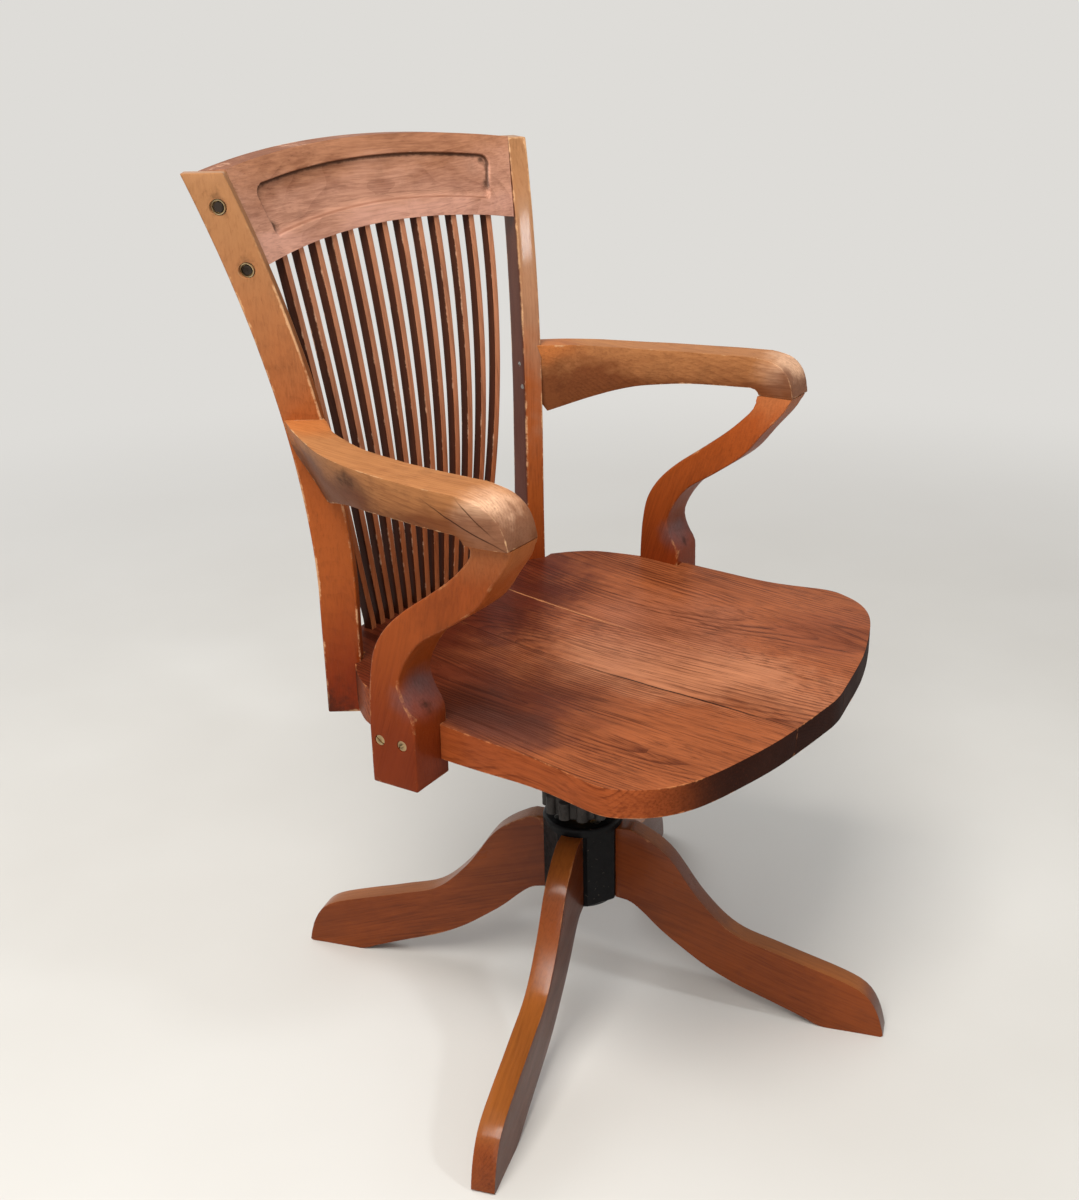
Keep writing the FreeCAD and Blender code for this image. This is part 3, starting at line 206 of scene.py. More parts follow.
# Arm supports, in millimetres: rear and front edge in side view, and how both faces lean out.
SUPPORT_REAR = ((56, 384), (56, 414), (56, 444), (55, 465), (53, 487), (47, 516), (33, 540), (10, 562),
                (-21, 584.5), (-48.5, 605.5), (-68, 624.5), (-74.5, 634), (-76.5, 645.5))
SUPPORT_FRONT = ((5, 384), (5, 414), (5, 440), (6, 457), (15, 472), (20, 487), (18, 499), (8, 518),
                 (-8, 536.5), (-37, 555.5), (-70, 580), (-92, 607.5), (-110, 629.5), (-118, 645.5))
SUPPORT_OUTER = ((284, 384), (284, 450), (284, 516), (286.5, 560), (293, 604), (303.5, 645.5))
SUPPORT_INNER = ((234, 384), (234, 450), (234, 516), (237, 560), (247, 604), (264, 645.5))
# Dirt and painted shade in the hollow of each support: x, y, height, size and amount.
SUPPORT_DIRT_AND_SHADE = (259, 8, 462, 16, 0.7)

# Countersunk wood screws: head radius, head height, shank radius and length. The slot's width and
# depth are shares of the head, and each screw of a set has its slot turned further.
SUPPORT_SCREW = (5.0 * MM, 2.8 * MM, 2.6 * MM, 78 * MM)
ARM_SCREW = (4.2 * MM, 2.4 * MM, 2.2 * MM, 37 * MM)
POST_SCREW = (4.5 * MM, 2.6 * MM, 2.4 * MM, 63 * MM)
SPIDER_SCREW = (4.2 * MM, 2.4 * MM, 2.2 * MM, 24 * MM)
HUB_SCREW = (6.0 * MM, 3.0 * MM, 3.0 * MM, 24 * MM)
SLOT_WIDTH = 0.26
SLOT_DEPTH = 0.42
SLOT_FIRST_TURN = 0.6
SLOT_NEXT_TURN = 1.9

# Where the screws sit.
SUPPORT_SCREW_X = 284 * MM
SUPPORT_SCREW_SUNK = 0.25 * MM
SUPPORT_SCREWS = ((45 * MM, 429 * MM), (20 * MM, 429 * MM))
ARM_SCREWS = ((646 * MM, 8 * MM), (670 * MM, 14 * MM))
POST_SCREW_HEIGHTS = (413 * MM, 436 * MM)
HUB_SCREW_CIRCLE = 29 * MM
HUB_SCREW_TOP = 227 * MM
HUB_SCREW_UNDER = 124.5 * MM
SPIDER_UNDER = 394.9 * MM
SPIDER_SCREW_NEAR = 94 * MM
SPIDER_SCREW_FAR = 146 * MM
SPIDER_SCREW_OFFSET = 8.8 * MM

# Threaded spindle.
SPINDLE_RADIUS = 15 * MM
SPINDLE_ROOT = 13.4 * MM
SPINDLE_FOOT = 131 * MM
SPINDLE_HEAD = 384 * MM
THREAD_PITCH = 5 * MM

# Legs: top and bottom edge in side view, as a share of the way from the hub's face to the toe and
# a height in millimetres, and the dovetail tenon.
LEG_FACE = 40.6 * MM
LEG_REACH = 345 * MM
LEG_WIDTH = 24.4 * MM
LEG_TOP = ((0, 216.6), (0.026, 216.6), (0.076, 214.4), (0.195, 190), (0.315, 140), (0.44, 104),
           (0.60, 87), (0.80, 68.5), (0.885, 59), (0.925, 51.5), (0.952, 42), (0.974, 29), (0.989, 15),
           (0.9985, 2))
LEG_BOTTOM = ((0, 128.5), (0.055, 125), (0.105, 113.5), (0.165, 96), (0.235, 79), (0.338, 57),
              (0.45, 39), (0.60, 21.5), (0.70, 9.5), (0.775, 0.2), (0.85, 0), (0.93, 0), (0.99, 0))
TENON_DEPTH = 11 * MM
TENON_MOUTH = 12 * MM
TENON_ROOT = 16 * MM
BASE_TURN = 14
LEGS = {"leg_left": 0, "leg_back": 90, "leg_right": 180, "leg_front": 270}


def settle():
    """Object mode, with nothing selected."""
    if bpy.context.object and bpy.context.object.mode != "OBJECT":
        bpy.ops.object.mode_set(mode="OBJECT")
    bpy.ops.object.select_all(action="DESELECT")


def take(piece):
    """Makes one piece the selected and active one."""
    settle()
    piece.select_set(True)
    bpy.context.view_layer.objects.active = piece


def edit(piece, kind="EDGE"):
    """Edit mode on one piece, with nothing selected."""
    take(piece)
    bpy.ops.object.mode_set(mode="EDIT")
    bpy.ops.mesh.select_mode(type=kind)
    bpy.ops.mesh.select_all(action="DESELECT")


def pick(piece, kind, test):
    """Selects the vertices, edges or faces of a piece in edit mode that pass a test."""
    shape = bmesh.from_edit_mesh(piece.data)
    for item in getattr(shape, kind):
        if test(item):
            item.select_set(True)
    shape.select_flush_mode()
    bmesh.update_edit_mesh(piece.data)


def move_loop(piece, before, after):
    """Moves the selected vertices from the points of one loop to those of the next."""
    tree = kdtree.KDTree(len(before))
    for index, point in enumerate(before):
        tree.insert(point, index)
    tree.balance()
    shape = bmesh.from_edit_mesh(piece.data)
    for vert in shape.verts:
        if vert.select:
            vert.co = after[tree.find(vert.co)[1]]
    bmesh.update_edit_mesh(piece.data)


def loft(name, loops, capped=True):
    """A shell through loops of points, each extruded from the one before, with or without its ends."""
    count = len(loops[0])
    settle()
    bpy.ops.mesh.primitive_circle_add(vertices=count, radius=1)
    piece = bpy.context.object
    piece.name = name
    piece.data.name = name
    circle = [vert.co.copy() for vert in piece.data.vertices]
    bpy.ops.object.mode_set(mode="EDIT")
    bpy.ops.mesh.select_mode(type="EDGE")
    bpy.ops.mesh.select_all(action="SELECT")
    before = circle
    for number, loop in enumerate(loops):
        if number:
            bpy.ops.mesh.extrude_edges_move()
        move_loop(piece, before, loop)
        before = loop
    if capped:
        bpy.ops.mesh.edge_face_add()
        bpy.ops.mesh.select_all(action="DESELECT")
        pick(piece, "edges", lambda edge: edge.is_boundary)
        bpy.ops.mesh.edge_face_add()
    bpy.ops.mesh.select_all(action="SELECT")
    bpy.ops.mesh.normals_make_consistent(inside=False)
    bpy.ops.mesh.select_all(action="DESELECT")
    bpy.ops.object.mode_set(mode="OBJECT")
    return piece


def section(corners, cuts):
    """The corners of a section with points added along each side."""
    points = []
    for index, corner in enumerate(corners):
        following = corners[(index + 1) % len(corners)]
        pieces = cuts[index % len(cuts)] + 1
        points += [corner.lerp(following, step / pieces) for step in range(pieces)]
    return points


def ease_edges(piece, width, segments=3, sharpness=35, test=None):
    """Rounds the sharp edges of a piece, or those of them that pass a test."""
    edit(piece)
    bpy.ops.mesh.edges_select_sharp(sharpness=math.radians(sharpness))
    if test:
        shape = bmesh.from_edit_mesh(piece.data)
        for edge in shape.edges:
            if edge.select and not test(edge):
                edge.select_set(False)
        shape.select_flush_mode()
        bmesh.update_edit_mesh(piece.data)
    bpy.ops.mesh.bevel(offset=width, segments=segments, profile=0.5, affect="EDGES", clamp_overlap=True)
    bpy.ops.object.mode_set(mode="OBJECT")


def carve(piece, cutter):
    """Cuts one shape out of a piece and removes the cutter."""
    take(piece)
    cut = piece.modifiers.new("cut", "BOOLEAN")
    cut.operation = "DIFFERENCE"
    cut.solver = "EXACT"
    cut.object = cutter
    bpy.ops.object.modifier_apply(modifier=cut.name)
    bpy.data.objects.remove(cutter)


def drill(piece, radius, place, direction, depth, sides=24):
    """Drills a flat-bottomed hole into a piece, inwards along a direction."""
    settle()
    bpy.ops.mesh.primitive_cylinder_add(vertices=sides, radius=radius, depth=2 * depth)
    cutter = bpy.context.object
    turn = Vector(direction).to_track_quat("Z", "Y").to_matrix().to_4x4()
    cutter.data.transform(Matrix.Translation(place) @ turn)
    carve(piece, cutter)


def smooth(points, count):
    """Evenly spaced points on a smooth curve through the given ones."""
    points = [Vector(point) for point in points]
    ends = [2 * points[0] - points[1]] + points + [2 * points[-1] - points[-2]]
    fine = []
    steps = 24
    for index in range(1, len(points)):
        a, b, c, d = ends[index - 1:index + 3]
        for step in range(steps):
            t = step / steps
            fine.append(0.5 * (2 * b + (c - a) * t + (2 * a - 5 * b + 4 * c - d) * t * t
                               + (3 * b - a - 3 * c + d) * t ** 3))
    fine.append(points[-1])
    lengths = [0.0]
    for before, after in zip(fine, fine[1:]):
        lengths.append(lengths[-1] + (after - before).length)
    result = []
    index = 0
    for number in range(count):
        goal = lengths[-1] * number / (count - 1)
        while index < len(fine) - 2 and lengths[index + 1] < goal:
            index += 1
        span = lengths[index + 1] - lengths[index]
        result.append(fine[index].lerp(fine[index + 1], min(1.0, (goal - lengths[index]) / span)))
    return result


def follow(points, value):
    """The second coordinate of a curve at a value of the first, as in a graph."""
    points = sorted(points)
    if value <= points[0][0]:
        return points[0][1]
    if value >= points[-1][0]:
        return points[-1][1]
    for index in range(len(points) - 1):
        low, high = points[index], points[index + 1]
        if low[0] <= value <= high[0]:
            break
    before = points[max(index - 1, 0)]
    after = points[min(index + 2, len(points) - 1)]
    run = high[0] - low[0]
    slope_low = (high[1] - before[1]) / (high[0] - before[0]) * run
    slope_high = (after[1] - low[1]) / (after[0] - low[0]) * run
    t = (value - low[0]) / run
    return ((2 * t ** 3 - 3 * t ** 2 + 1) * low[1] + (t ** 3 - 2 * t ** 2 + t) * slope_low
            + (3 * t ** 2 - 2 * t ** 3) * high[1] + (t ** 3 - t ** 2) * slope_high)


def age(piece, reach=7 * MM, stains_and_shade=(), ripple=0.15 * MM, seed=0.0):
    """Hand-work and age: a faint ripple inwards, wear near the edges, and stains and painted shade near
    places.
    """
    shape = bmesh.new()
    shape.from_mesh(piece.data)
    shape.normal_update()
    edges = [vert for vert in shape.verts
             if max((edge.calc_face_angle_signed(0) for edge in vert.link_edges), default=0) > SHARP]
    tree = kdtree.KDTree(max(1, len(edges)))
    for index, vert in enumerate(edges):
        tree.insert(vert.co, index)
    tree.balance()
    worn = []
    for vert in shape.verts:
        worn.append(max(0.0, 1 - tree.find(vert.co)[2] / reach) if edges else 0.0)
    stain_and_shade = []
    for vert in shape.verts:
        depths = [amount * max(0.0, 1 - (vert.co - Vector(place)).length / size)
                  for place, size, amount in stains_and_shade]
        stain_and_shade.append(max(depths, default=0.0))
    if ripple:
        moves = []
        for vert, wear in zip(shape.verts, worn):
            swell = noise.noise(vert.co * RIPPLE_PITCH + Vector((seed, seed, seed)))
            moves.append(vert.normal * -ripple * (0.5 + 0.5 * swell) * (1 + wear))
        for vert, move in zip(shape.verts, moves):
            vert.co += move
    shape.to_mesh(piece.data)
    shape.free()
    for name, values in (("worn", worn), ("stain_and_shade", stain_and_shade)):
        layer = piece.data.attributes.new(name, "FLOAT", "POINT")
        layer.data.foreach_set("value", values)


def finish_piece(piece, material, body, nodes, angle=30):
    """Gives a finished piece its shading, material and body, and hides the CAD parts that it replaces."""
    take(piece)
    bpy.ops.object.shade_smooth_by_angle(angle=math.radians(angle))
    piece.data.materials.clear()
    piece.data.materials.append(material)
    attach(piece, body)
    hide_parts(*nodes)
    settle()


def post_lean(height):
    """How far up its leaning part a post is at a height, from 0 to 1."""
    return max(0.0, (height - POST_BEND) / POST_RISE)


def post_point(height, side, inward, rearward):
    """A point of a post's section at a height, measured from its front outer corner."""
    lean = post_lean(height)
    turn = POST_TURN + POST_TWIST * lean
    corner = Vector((POST_X + POST_FLARE * lean ** POST_FLARE_POWER, POST_Y + POST_RAKE * lean ** 2, height))
    across = Vector((-math.cos(turn), math.sin(turn), 0))
    back = Vector((math.sin(turn), math.cos(turn), 0))
    point = corner + across * inward + back * rearward
    return Vector((side * point.x, point.y, point.z))


def post_shell(name, side, grow=0.0, low=POST_FOOT, high=POST_TOP, spacing=9 * MM):
    """A post from its foot to its top, or a grown copy of it for a cutter."""
    count = round((high - low) / spacing)
    loops = []
    for number in range(count + 1):
        height = low + (high - low) * number / count
        corners = [post_point(height, side, inward, rearward) for inward, rearward in (
            (-grow, -grow), (POST_WIDTH + grow, -grow), (POST_WIDTH + grow, POST_DEPTH + grow),
            (-grow, POST_DEPTH + grow))]
        loops.append(section(corners, (3, 5)))
    return loft(name, loops)


def bolt_starts(side):
    """Where each rail bolt enters a post, and its direction."""
    for height, climb in BOLT_HEIGHTS:
        direction = Vector((-side * math.cos(BOLT_SLANT), math.sin(BOLT_SLANT), climb)).normalized()
        yield post_point(height, side, 0, POST_DEPTH / 2), direction


def make_post(name, side, material):
    """A back post with eased edges and the two counterbores for the rail bolts."""
    post = post_shell(name, side)
    ease_edges(post, POST_EASE)
    stains_and_shade = []
    for place, direction in bolt_starts(side):
        drill(post, BOLT_HOLE, place, direction, BOLT_SINK)
        stains_and_shade.append((place, BOLT_STAIN, 0.75))
        stains_and_shade.append((place + Vector((0, 0, BOLT_STAIN_RISE)), BOLT_STAIN, 0.6))
    # Painted shadow at the back of the post's foot.
    stains_and_shade.append((post_point(POST_FOOT, side, 0, POST_DEPTH), FOOT_SHADOW, 0.7))
    age(post, stains_and_shade=stains_and_shade, seed=side * 3.0)
    finish_piece(post, material, "seat", [name])


def slat_pitch(height):
    """The spacing of the slats at a height."""
    share = (height - SLAT_SHOULDER) / SLAT_RISE
    return SLAT_PITCH_LOW + SLAT_PITCH_GAIN * share + SLAT_PITCH_SWELL * share * (1 - share)


def arch_height(x):
    """The lower edge of the top rail at a distance from the middle."""
    return RAIL_ARCH - RAIL_ARCH_RISE * (x / RAIL_HALF) ** 2


def make_slat(number, material):
    """One slat, from its foot in the seat to its tenon in the rail."""
    offset = number - (SLAT_COUNT - 1) / 2
    top = arch_height(offset * SLAT_PITCH_HIGH) + SLAT_TENON
    stations = 44
    loops = []
    for step in range(stations + 1):
        height = SLAT_FOOT + (top - SLAT_FOOT) * step / stations
        x = offset * slat_pitch(max(height, SLAT_SHOULDER))
        turn = math.asin(x / RAIL_BOW)
        y = SLAT_FACE + SLAT_RAKE * post_lean(height) ** 2 + SLAT_DEPTH / 2 - RAIL_BOW * (1 - math.cos(turn))
        across = Vector((math.cos(turn), -math.sin(turn), 0)) * SLAT_WIDTH / 2
        back = Vector((math.sin(turn), math.cos(turn), 0)) * SLAT_DEPTH / 2
        centre = Vector((x, y, height))
        corners = [centre - across - back, centre + across - back, centre + across + back,
                   centre - across + back]
        loops.append(section(corners, (2,)))
    name = "slat_%02d" % (number + 1)
    slat = loft(name, loops)
    ease_edges(slat, SLAT_EASE, segments=2)
    age(slat, reach=4 * MM, ripple=0.1 * MM, seed=number * 1.7)
    finish_piece(slat, material, "seat", [name])


def rail_face(x, height):
    """The front face of the top rail."""
    return RAIL_FACE + (height - RAIL_ARCH) * RAIL_RAKE - (RAIL_BOW - math.sqrt(RAIL_BOW ** 2 - x ** 2))


def crest_height(x):
    """The upper edge of the top rail at a distance from the middle."""
    return RAIL_CREST - RAIL_CREST_RISE * (x / RAIL_CREST_HALF) ** 2


def panel_height(x, upper):
    """The lower or upper edge of the sunk panel at a distance from the middle."""
    if upper:
        return PANEL_HIGH - PANEL_HIGH_DROP * (x / PANEL_HIGH_HALF) ** 2
    return PANEL_LOW - PANEL_LOW_DROP * (x / PANEL_LOW_HALF) ** 2


def panel_loop(inset, corner):
    """The panel's outline in the plane of the rail, as (x, height), moved in by an inset."""
    low_half = PANEL_LOW_HALF - inset
    high_half = PANEL_HIGH_HALF - inset
    points = []
    rise = inset * PANEL_SLOPE
    for step in range(PANEL_ALONG + 1):
        x = (2 * step / PANEL_ALONG - 1) * (low_half - corner)
        points.append((x, panel_height(x, False) + rise))
    low = panel_height(low_half, False) + rise
    high = panel_height(high_half, True) - inset
    for step in range(1, PANEL_TURN):
        turn = math.pi / 2 * step / PANEL_TURN
        points.append((low_half - corner + corner * math.sin(turn),
                       low + corner - corner * math.cos(turn)))
    for step in range(PANEL_UP + 1):
        share = step / PANEL_UP
        height = low + corner + (high - low - 2 * corner) * share
        points.append((low_half + (high_half - low_half) * share, height))
    for step in range(1, PANEL_TURN):
        turn = math.pi / 2 * step / PANEL_TURN
        points.append((high_half - corner + corner * math.cos(turn),
                       high - corner + corner * math.sin(turn)))
    for step in range(PANEL_ALONG + 1):
        x = (1 - 2 * step / PANEL_ALONG) * (high_half - corner)
        points.append((x, panel_height(x, True) - inset))
    sides = points[PANEL_ALONG + 1:-(PANEL_ALONG + 1)]
    points += [(-x, height) for x, height in reversed(sides)]
    return points


def board_loop(half_low, half_high):
    """The rail's own outline, with as many points as the panel's, corner to corner."""
    wide = PANEL_ALONG + 4
    points = []
    for step in range(-2, PANEL_ALONG + 3):
        x = (2 * step / PANEL_ALONG - 1) * half_low * PANEL_ALONG / wide
        points.append((x, arch_height(x)))
    side_steps = 2 * (PANEL_TURN - 1) + PANEL_UP + 1 - 4
    low = arch_height(half_low)
    high = crest_height(half_high)
    sides = []
    for step in range(1, side_steps + 1):
        share = step / (side_steps + 1)
        sides.append((half_low + (half_high - half_low) * share, low + (high - low) * share))
    points += sides
    for step in range(-2, PANEL_ALONG + 3):
        x = (1 - 2 * step / PANEL_ALONG) * half_high * PANEL_ALONG / wide
        points.append((x, crest_height(x)))
    points += [(-x, height) for x, height in reversed(sides)]
    return points[2:] + points[:2]


def shrink(loop, share, centre):
    """A loop drawn in towards a centre."""
    return [(centre[0] + (x - centre[0]) * share, centre[1] + (height - centre[1]) * share)
            for x, height in loop]


def add_patch(piece, loop, columns, place):
    """Closes a loop of four chains with an even grid of faces, welded to the piece."""
    rows = len(loop) // 2 - columns
    low = loop[:columns + 1]
    right = loop[columns:columns + rows + 1]
    high = loop[columns + rows:2 * columns + rows + 1][::-1]
    left = [loop[0]] + loop[:2 * columns + rows - 1:-1]
    settle()
    bpy.ops.mesh.primitive_grid_add(x_subdivisions=columns, y_subdivisions=rows, size=2)
    patch = bpy.context.object
    for vert in patch.data.vertices:
        column = round((vert.co.x + 1) / 2 * columns)
        row = round((vert.co.y + 1) / 2 * rows)
        u, v = column / columns, row / rows
        point = []
        for axis in (0, 1):
            edges = ((1 - v) * low[column][axis] + v * high[column][axis]
                     + (1 - u) * left[row][axis] + u * right[row][axis])
            corners = ((1 - u) * (1 - v) * low[0][axis] + u * (1 - v) * low[-1][axis]
                       + (1 - u) * v * high[0][axis] + u * v * high[-1][axis])
            point.append(edges - corners)
        vert.co = place(*point)
    take(patch)
    piece.select_set(True)
    bpy.context.view_layer.objects.active = piece
    bpy.ops.object.join()
    edit(piece)
    bpy.ops.mesh.select_all(action="SELECT")
    bpy.ops.mesh.remove_doubles(threshold=0.02 * MM)
    bpy.ops.mesh.normals_make_consistent(inside=False)
    bpy.ops.object.mode_set(mode="OBJECT")


def rail_point(x, height, back):
    """A point of the rail, a depth behind its front face."""
    return Vector((x, rail_face(x, height) + back, height))


def make_rail(material):
    """The top rail: bowed and raked board, sunk panel, ends hollowed for the posts."""
    outline = board_loop(RAIL_BLANK_LOW, RAIL_BLANK_HIGH)
    flat = [(shrink(outline, share, (0.0, RAIL_MIDDLE)), RAIL_DEPTH) for share in (0.97, 1)]
    flat.append((outline, 0.0))
    margin = PANEL_WALL[0][0] * MM
    edge = panel_loop(margin, PANEL_CORNER - margin)
    between = [(a[0] * 0.45 + b[0] * 0.55, a[1] * 0.45 + b[1] * 0.55) for a, b in zip(outline, edge)]
    flat.append((between, 0.0))
    for inset, sink in PANEL_WALL:
        flat.append((panel_loop(inset * MM, PANEL_CORNER - inset * MM), sink * MM))
    loops = [[rail_point(x, height, back) for x, height in loop] for loop, back in flat]
    rail = loft("top_rail", loops, capped=False)
    for loop, back in (flat[0], flat[-1]):
        add_patch(rail, loop, PANEL_ALONG, lambda x, height, back=back: rail_point(x, height, back))
    ease_edges(rail, RAIL_EASE, sharpness=60)
    for side in SIDES:
        carve(rail, post_shell("room", side, grow=JOINT_GAP, low=RAIL_LAP_LOW, high=RAIL_LAP_HIGH))
    # Dirt and painted shade in the panel's corners.
    stains_and_shade = [(rail_point(x * MM, height * MM, PANEL_SINK), PANEL_CORNER_DARK_SIZE, amount)
              for x, height, amount in PANEL_CORNER_DIRT_AND_SHADE]
    # Painted shadow along the upper wall of the sunk panel.
    for x, height in panel_loop(GROOVE_INSET, PANEL_CORNER - GROOVE_INSET):
        if height > panel_height(x, False) + GROOVE_SHADOW_RISE:
            stains_and_shade.append((rail_point(x, height, GROOVE_DEPTH), GROOVE_SHADOW_SIZE, 1.0))
    age(rail, stains_and_shade=stains_and_shade, seed=9.0)
    finish_piece(rail, material, "seat", ["top_rail"])


def arm_shape(y):
    """Outer x, inner x, undercut and rise of an arm at a place along it, in millimetres."""
    return [follow([(station[0], station[column]) for station in ARM_STATIONS], y)
            for column in (1, 2, 3, 4)]


def arm_top(y):
    """The height of an arm's top at a place along it, in millimetres."""
    return ARM_TOP + ARM_REAR_RISE * arm_shape(y)[3]


def arm_profile():
    """Pairs of top and bottom points of an arm in side view, from its nose to its rear end."""
    profile = []
    nose = smooth(ARM_NOSE, 12)[:0:-1]
    for step, (y, z) in enumerate(nose):
        bottom = NOSE_BOTTOM[0] + (NOSE_BOTTOM[1] - NOSE_BOTTOM[0]) * step / len(nose)
        profile.append(((y, z), (bottom, ARM_JOINT)))
    for top_y, y, z in ARM_CORNER:
        profile.append(((top_y, ARM_TOP), (y, z)))
    for y, z in smooth(ARM_UNDER, 34):
        profile.append(((y, arm_top(y)), (y, z)))
    for y, z in smooth(ARM_REAR, 9)[1:]:
        profile.append(((min(y, ARM_BACK_END), arm_top(y)), (y, min(z, arm_top(y) - ARM_END_THICK))))
    return profile


def on_nose_side(edge):
    """Whether an edge runs along a side of an arm's nose, above the joint with its support."""
    first, second = (vert.co for vert in edge.verts)
    above = min(first.z, second.z) > NOSE_SIDE_LOW
    along = abs(first.x - second.x) < NOSE_SIDE_RUN
    return above and along and max(first.y, second.y) < NOSE_SIDE_BACK


def off_arm_joint(edge):
    """Whether an edge lies away from an arm's joint with its support."""
    first, second = (vert.co for vert in edge.verts)
    return max(first.z, second.z) > ARM_JOINT_HIGH or min(first.y, second.y) > ARM_JOINT_BACK


def make_arm(name, side, material):
    """An arm: flat top, undercut outer side, rolled nose, hollowed where it laps on the post."""
    loops = []
    low = ARM_JOINT - UNDERCUT_BELOW_JOINT
    for (top_y, top_z), (under_y, under_z) in arm_profile():
        outer, inner, undercut, rise = arm_shape(top_y)
        under_outer, under_inner, under_cut, rise = arm_shape(under_y)
        full = ARM_TOP + ARM_REAR_RISE * rise
        share = (full - under_z) / (full - low)
        top_share = (full - top_z) / (full - low)
        corners = [(outer - undercut * top_share, top_y, top_z), (inner, top_y, top_z),
                   (under_inner, under_y, under_z), (under_outer - under_cut * share, under_y, under_z)]
        loops.append(section([Vector((side * x, y, z)) * MM for x, y, z in corners], (6, 4)))
    arm = loft(name, loops)
    ease_edges(arm, NOSE_EASE, segments=5, sharpness=45, test=on_nose_side)
    ease_edges(arm, ARM_EASE, segments=4, sharpness=45, test=off_arm_joint)
    carve(arm, post_shell("room", side, grow=JOINT_GAP, low=ARM_LAP_LOW, high=ARM_LAP_HIGH))
    stains_and_shade = [((side * x * MM, y * MM, z * MM), size * MM, amount) for x, y, z, size, amount in ARM_STAINS]
    age(arm, reach=9 * MM, stains_and_shade=stains_and_shade, ripple=0.25 * MM, seed=side * 5.0)
    finish_piece(arm, material, "seat", [name])


def make_support(name, side, material):
    """An arm support: S-shaped in side view, block foot in the seat's notch, leaning outwards."""
    count = 46
    rear = smooth(SUPPORT_REAR, count)
    front = smooth(SUPPORT_FRONT, count)
    flares = [[(z, x) for x, z in curve] for curve in (SUPPORT_OUTER, SUPPORT_INNER)]
    loops = []
    for back, fore in zip(rear, front):
        corners = []
        for point, inward in ((fore, 0), (back, 0), (back, 1), (fore, 1)):
            corners.append(Vector((side * follow(flares[inward], point.y), point.x, point.y)) * MM)
        loops.append(section(corners, (5, 5)))
    support = loft(name, loops)
    below_joint = (ARM_JOINT - 1.6) * MM
    ease_edges(support, SUPPORT_EASE, sharpness=45,
               test=lambda edge: max(vert.co.z for vert in edge.verts) < below_joint)
    for y, z in SUPPORT_SCREWS:
        drill(support, SUPPORT_SCREW[0] + 0.2 * MM, (side * SUPPORT_SCREW_X, y, z), (side, 0, 0), 4 * MM)
    # Dirt and painted shade in the hollow.
    x, y, z, size, amount = SUPPORT_DIRT_AND_SHADE
    stains_and_shade = [((side * x * MM, y * MM, z * MM), size * MM, amount)]
    age(support, reach=4.5 * MM, stains_and_shade=stains_and_shade, ripple=0.2 * MM, seed=side * 7.0)
    finish_piece(support, material, "seat", [name])


def seat_outline():
    """The seat's outline as an evenly stepped loop, with corners kept at the post notches."""
    back_inner = post_point(SEAT_BOTTOM, LEFT, POST_WIDTH + JOINT_GAP, POST_DEPTH).xy
    front_inner = post_point(SEAT_BOTTOM, LEFT, POST_WIDTH + JOINT_GAP, -JOINT_GAP).xy
    front_outer = post_point(SEAT_BOTTOM, LEFT, 0, -JOINT_GAP).xy
    rise = SEAT_BACK - back_inner.y
    rear_radius = (back_inner.x ** 2 + rise ** 2) / (2 * rise)
    rear = []
    for step in range(17):
        x = back_inner.x * step / 16
        rear.append(Vector((x, SEAT_BACK - rear_radius + math.sqrt(rear_radius ** 2 - x ** 2))))
    notch = [back_inner.lerp(front_inner, step / 4) for step in range(1, 5)]
    notch += [front_inner.lerp(front_outer, step / 3) for step in range(1, 4)]
    side = smooth([Vector((x, y)) * MM for x, y in SEAT_SIDE], 130)
    half = rear + notch + side
    mirrored = [Vector((-point.x, point.y)) for point in reversed(half[1:-1])]
    return half + mirrored


def seat_top(x, y):
    """The height of the seat's top: flat at the rear, falling to the front, scooped."""
    height = min(SEAT_REAR_TOP, follow(SEAT_FALL, y / MM) * MM)
    away = math.hypot(x - DISH_CENTRE[0], y - DISH_CENTRE[1])
    scoop = DISH_LOWEST + DISH_SPHERE - math.sqrt(DISH_SPHERE ** 2 - away ** 2)
    blend = 2.5 * MM
    share = max(0.0, min(1.0, 0.5 + 0.5 * (scoop - height) / blend))
    return scoop * (1 - share) + height * share - blend * share * (1 - share)


def seat_blank():
    """The seat in one: rings from the middle to the rim, over it and in again underneath."""
    outline = seat_outline()
    middle = Vector((0.0, SEAT_MIDDLE))
    loops = []
    for share in [0.03] + [step / 34 for step in range(2, 34)] + [0.985, 1]:
        ring = [middle + (point - middle) * share for point in outline]
        loops.append([Vector((p.x, p.y, seat_top(p.x, p.y))) for p in ring])
    low = SEAT_BOTTOM + SEAT_CHAMFER
    for share in (0.5, 0.85):
        loops.append([Vector((p.x, p.y, seat_top(p.x, p.y) * (1 - share) + low * share)) for p in outline])
    for share in (1, 0.97, 0.8, 0.5, 0.1):
        ring = [middle + (point - middle) * share for point in outline]
        loops.append([Vector((p.x, p.y, SEAT_BOTTOM)) for p in ring])
    return loft("seat_blank", loops)


def on_seat_rim(edge):
    """Whether an edge runs along the upper rim of the seat."""
    first, second = (vert.co.z for vert in edge.verts)
    return min(first, second) > SEAT_BOTTOM + 15 * MM and abs(first - second) < 4 * MM


def under_seat(edge):
    """Whether an edge lies in the underside of the seat."""
    return all(vert.co.z < SEAT_BOTTOM + 1 * MM for vert in edge.verts)


def cut_notch(blank, side):
    """Cuts the notch for an arm support into a side of the seat."""
    settle()
    bpy.ops.mesh.primitive_cube_add(size=1)
    notch = bpy.context.object
    low = Vector(NOTCH_LOW) * MM
    high = Vector(NOTCH_HIGH) * MM
    notch.data.transform(Matrix.Translation((low + high) / 2) @ Matrix.Diagonal((*(high - low), 1)))
    if side == RIGHT:
        notch.data.transform(Matrix.Scale(-1, 4, (1, 0, 0)))
        notch.data.flip_normals()
    carve(blank, notch)


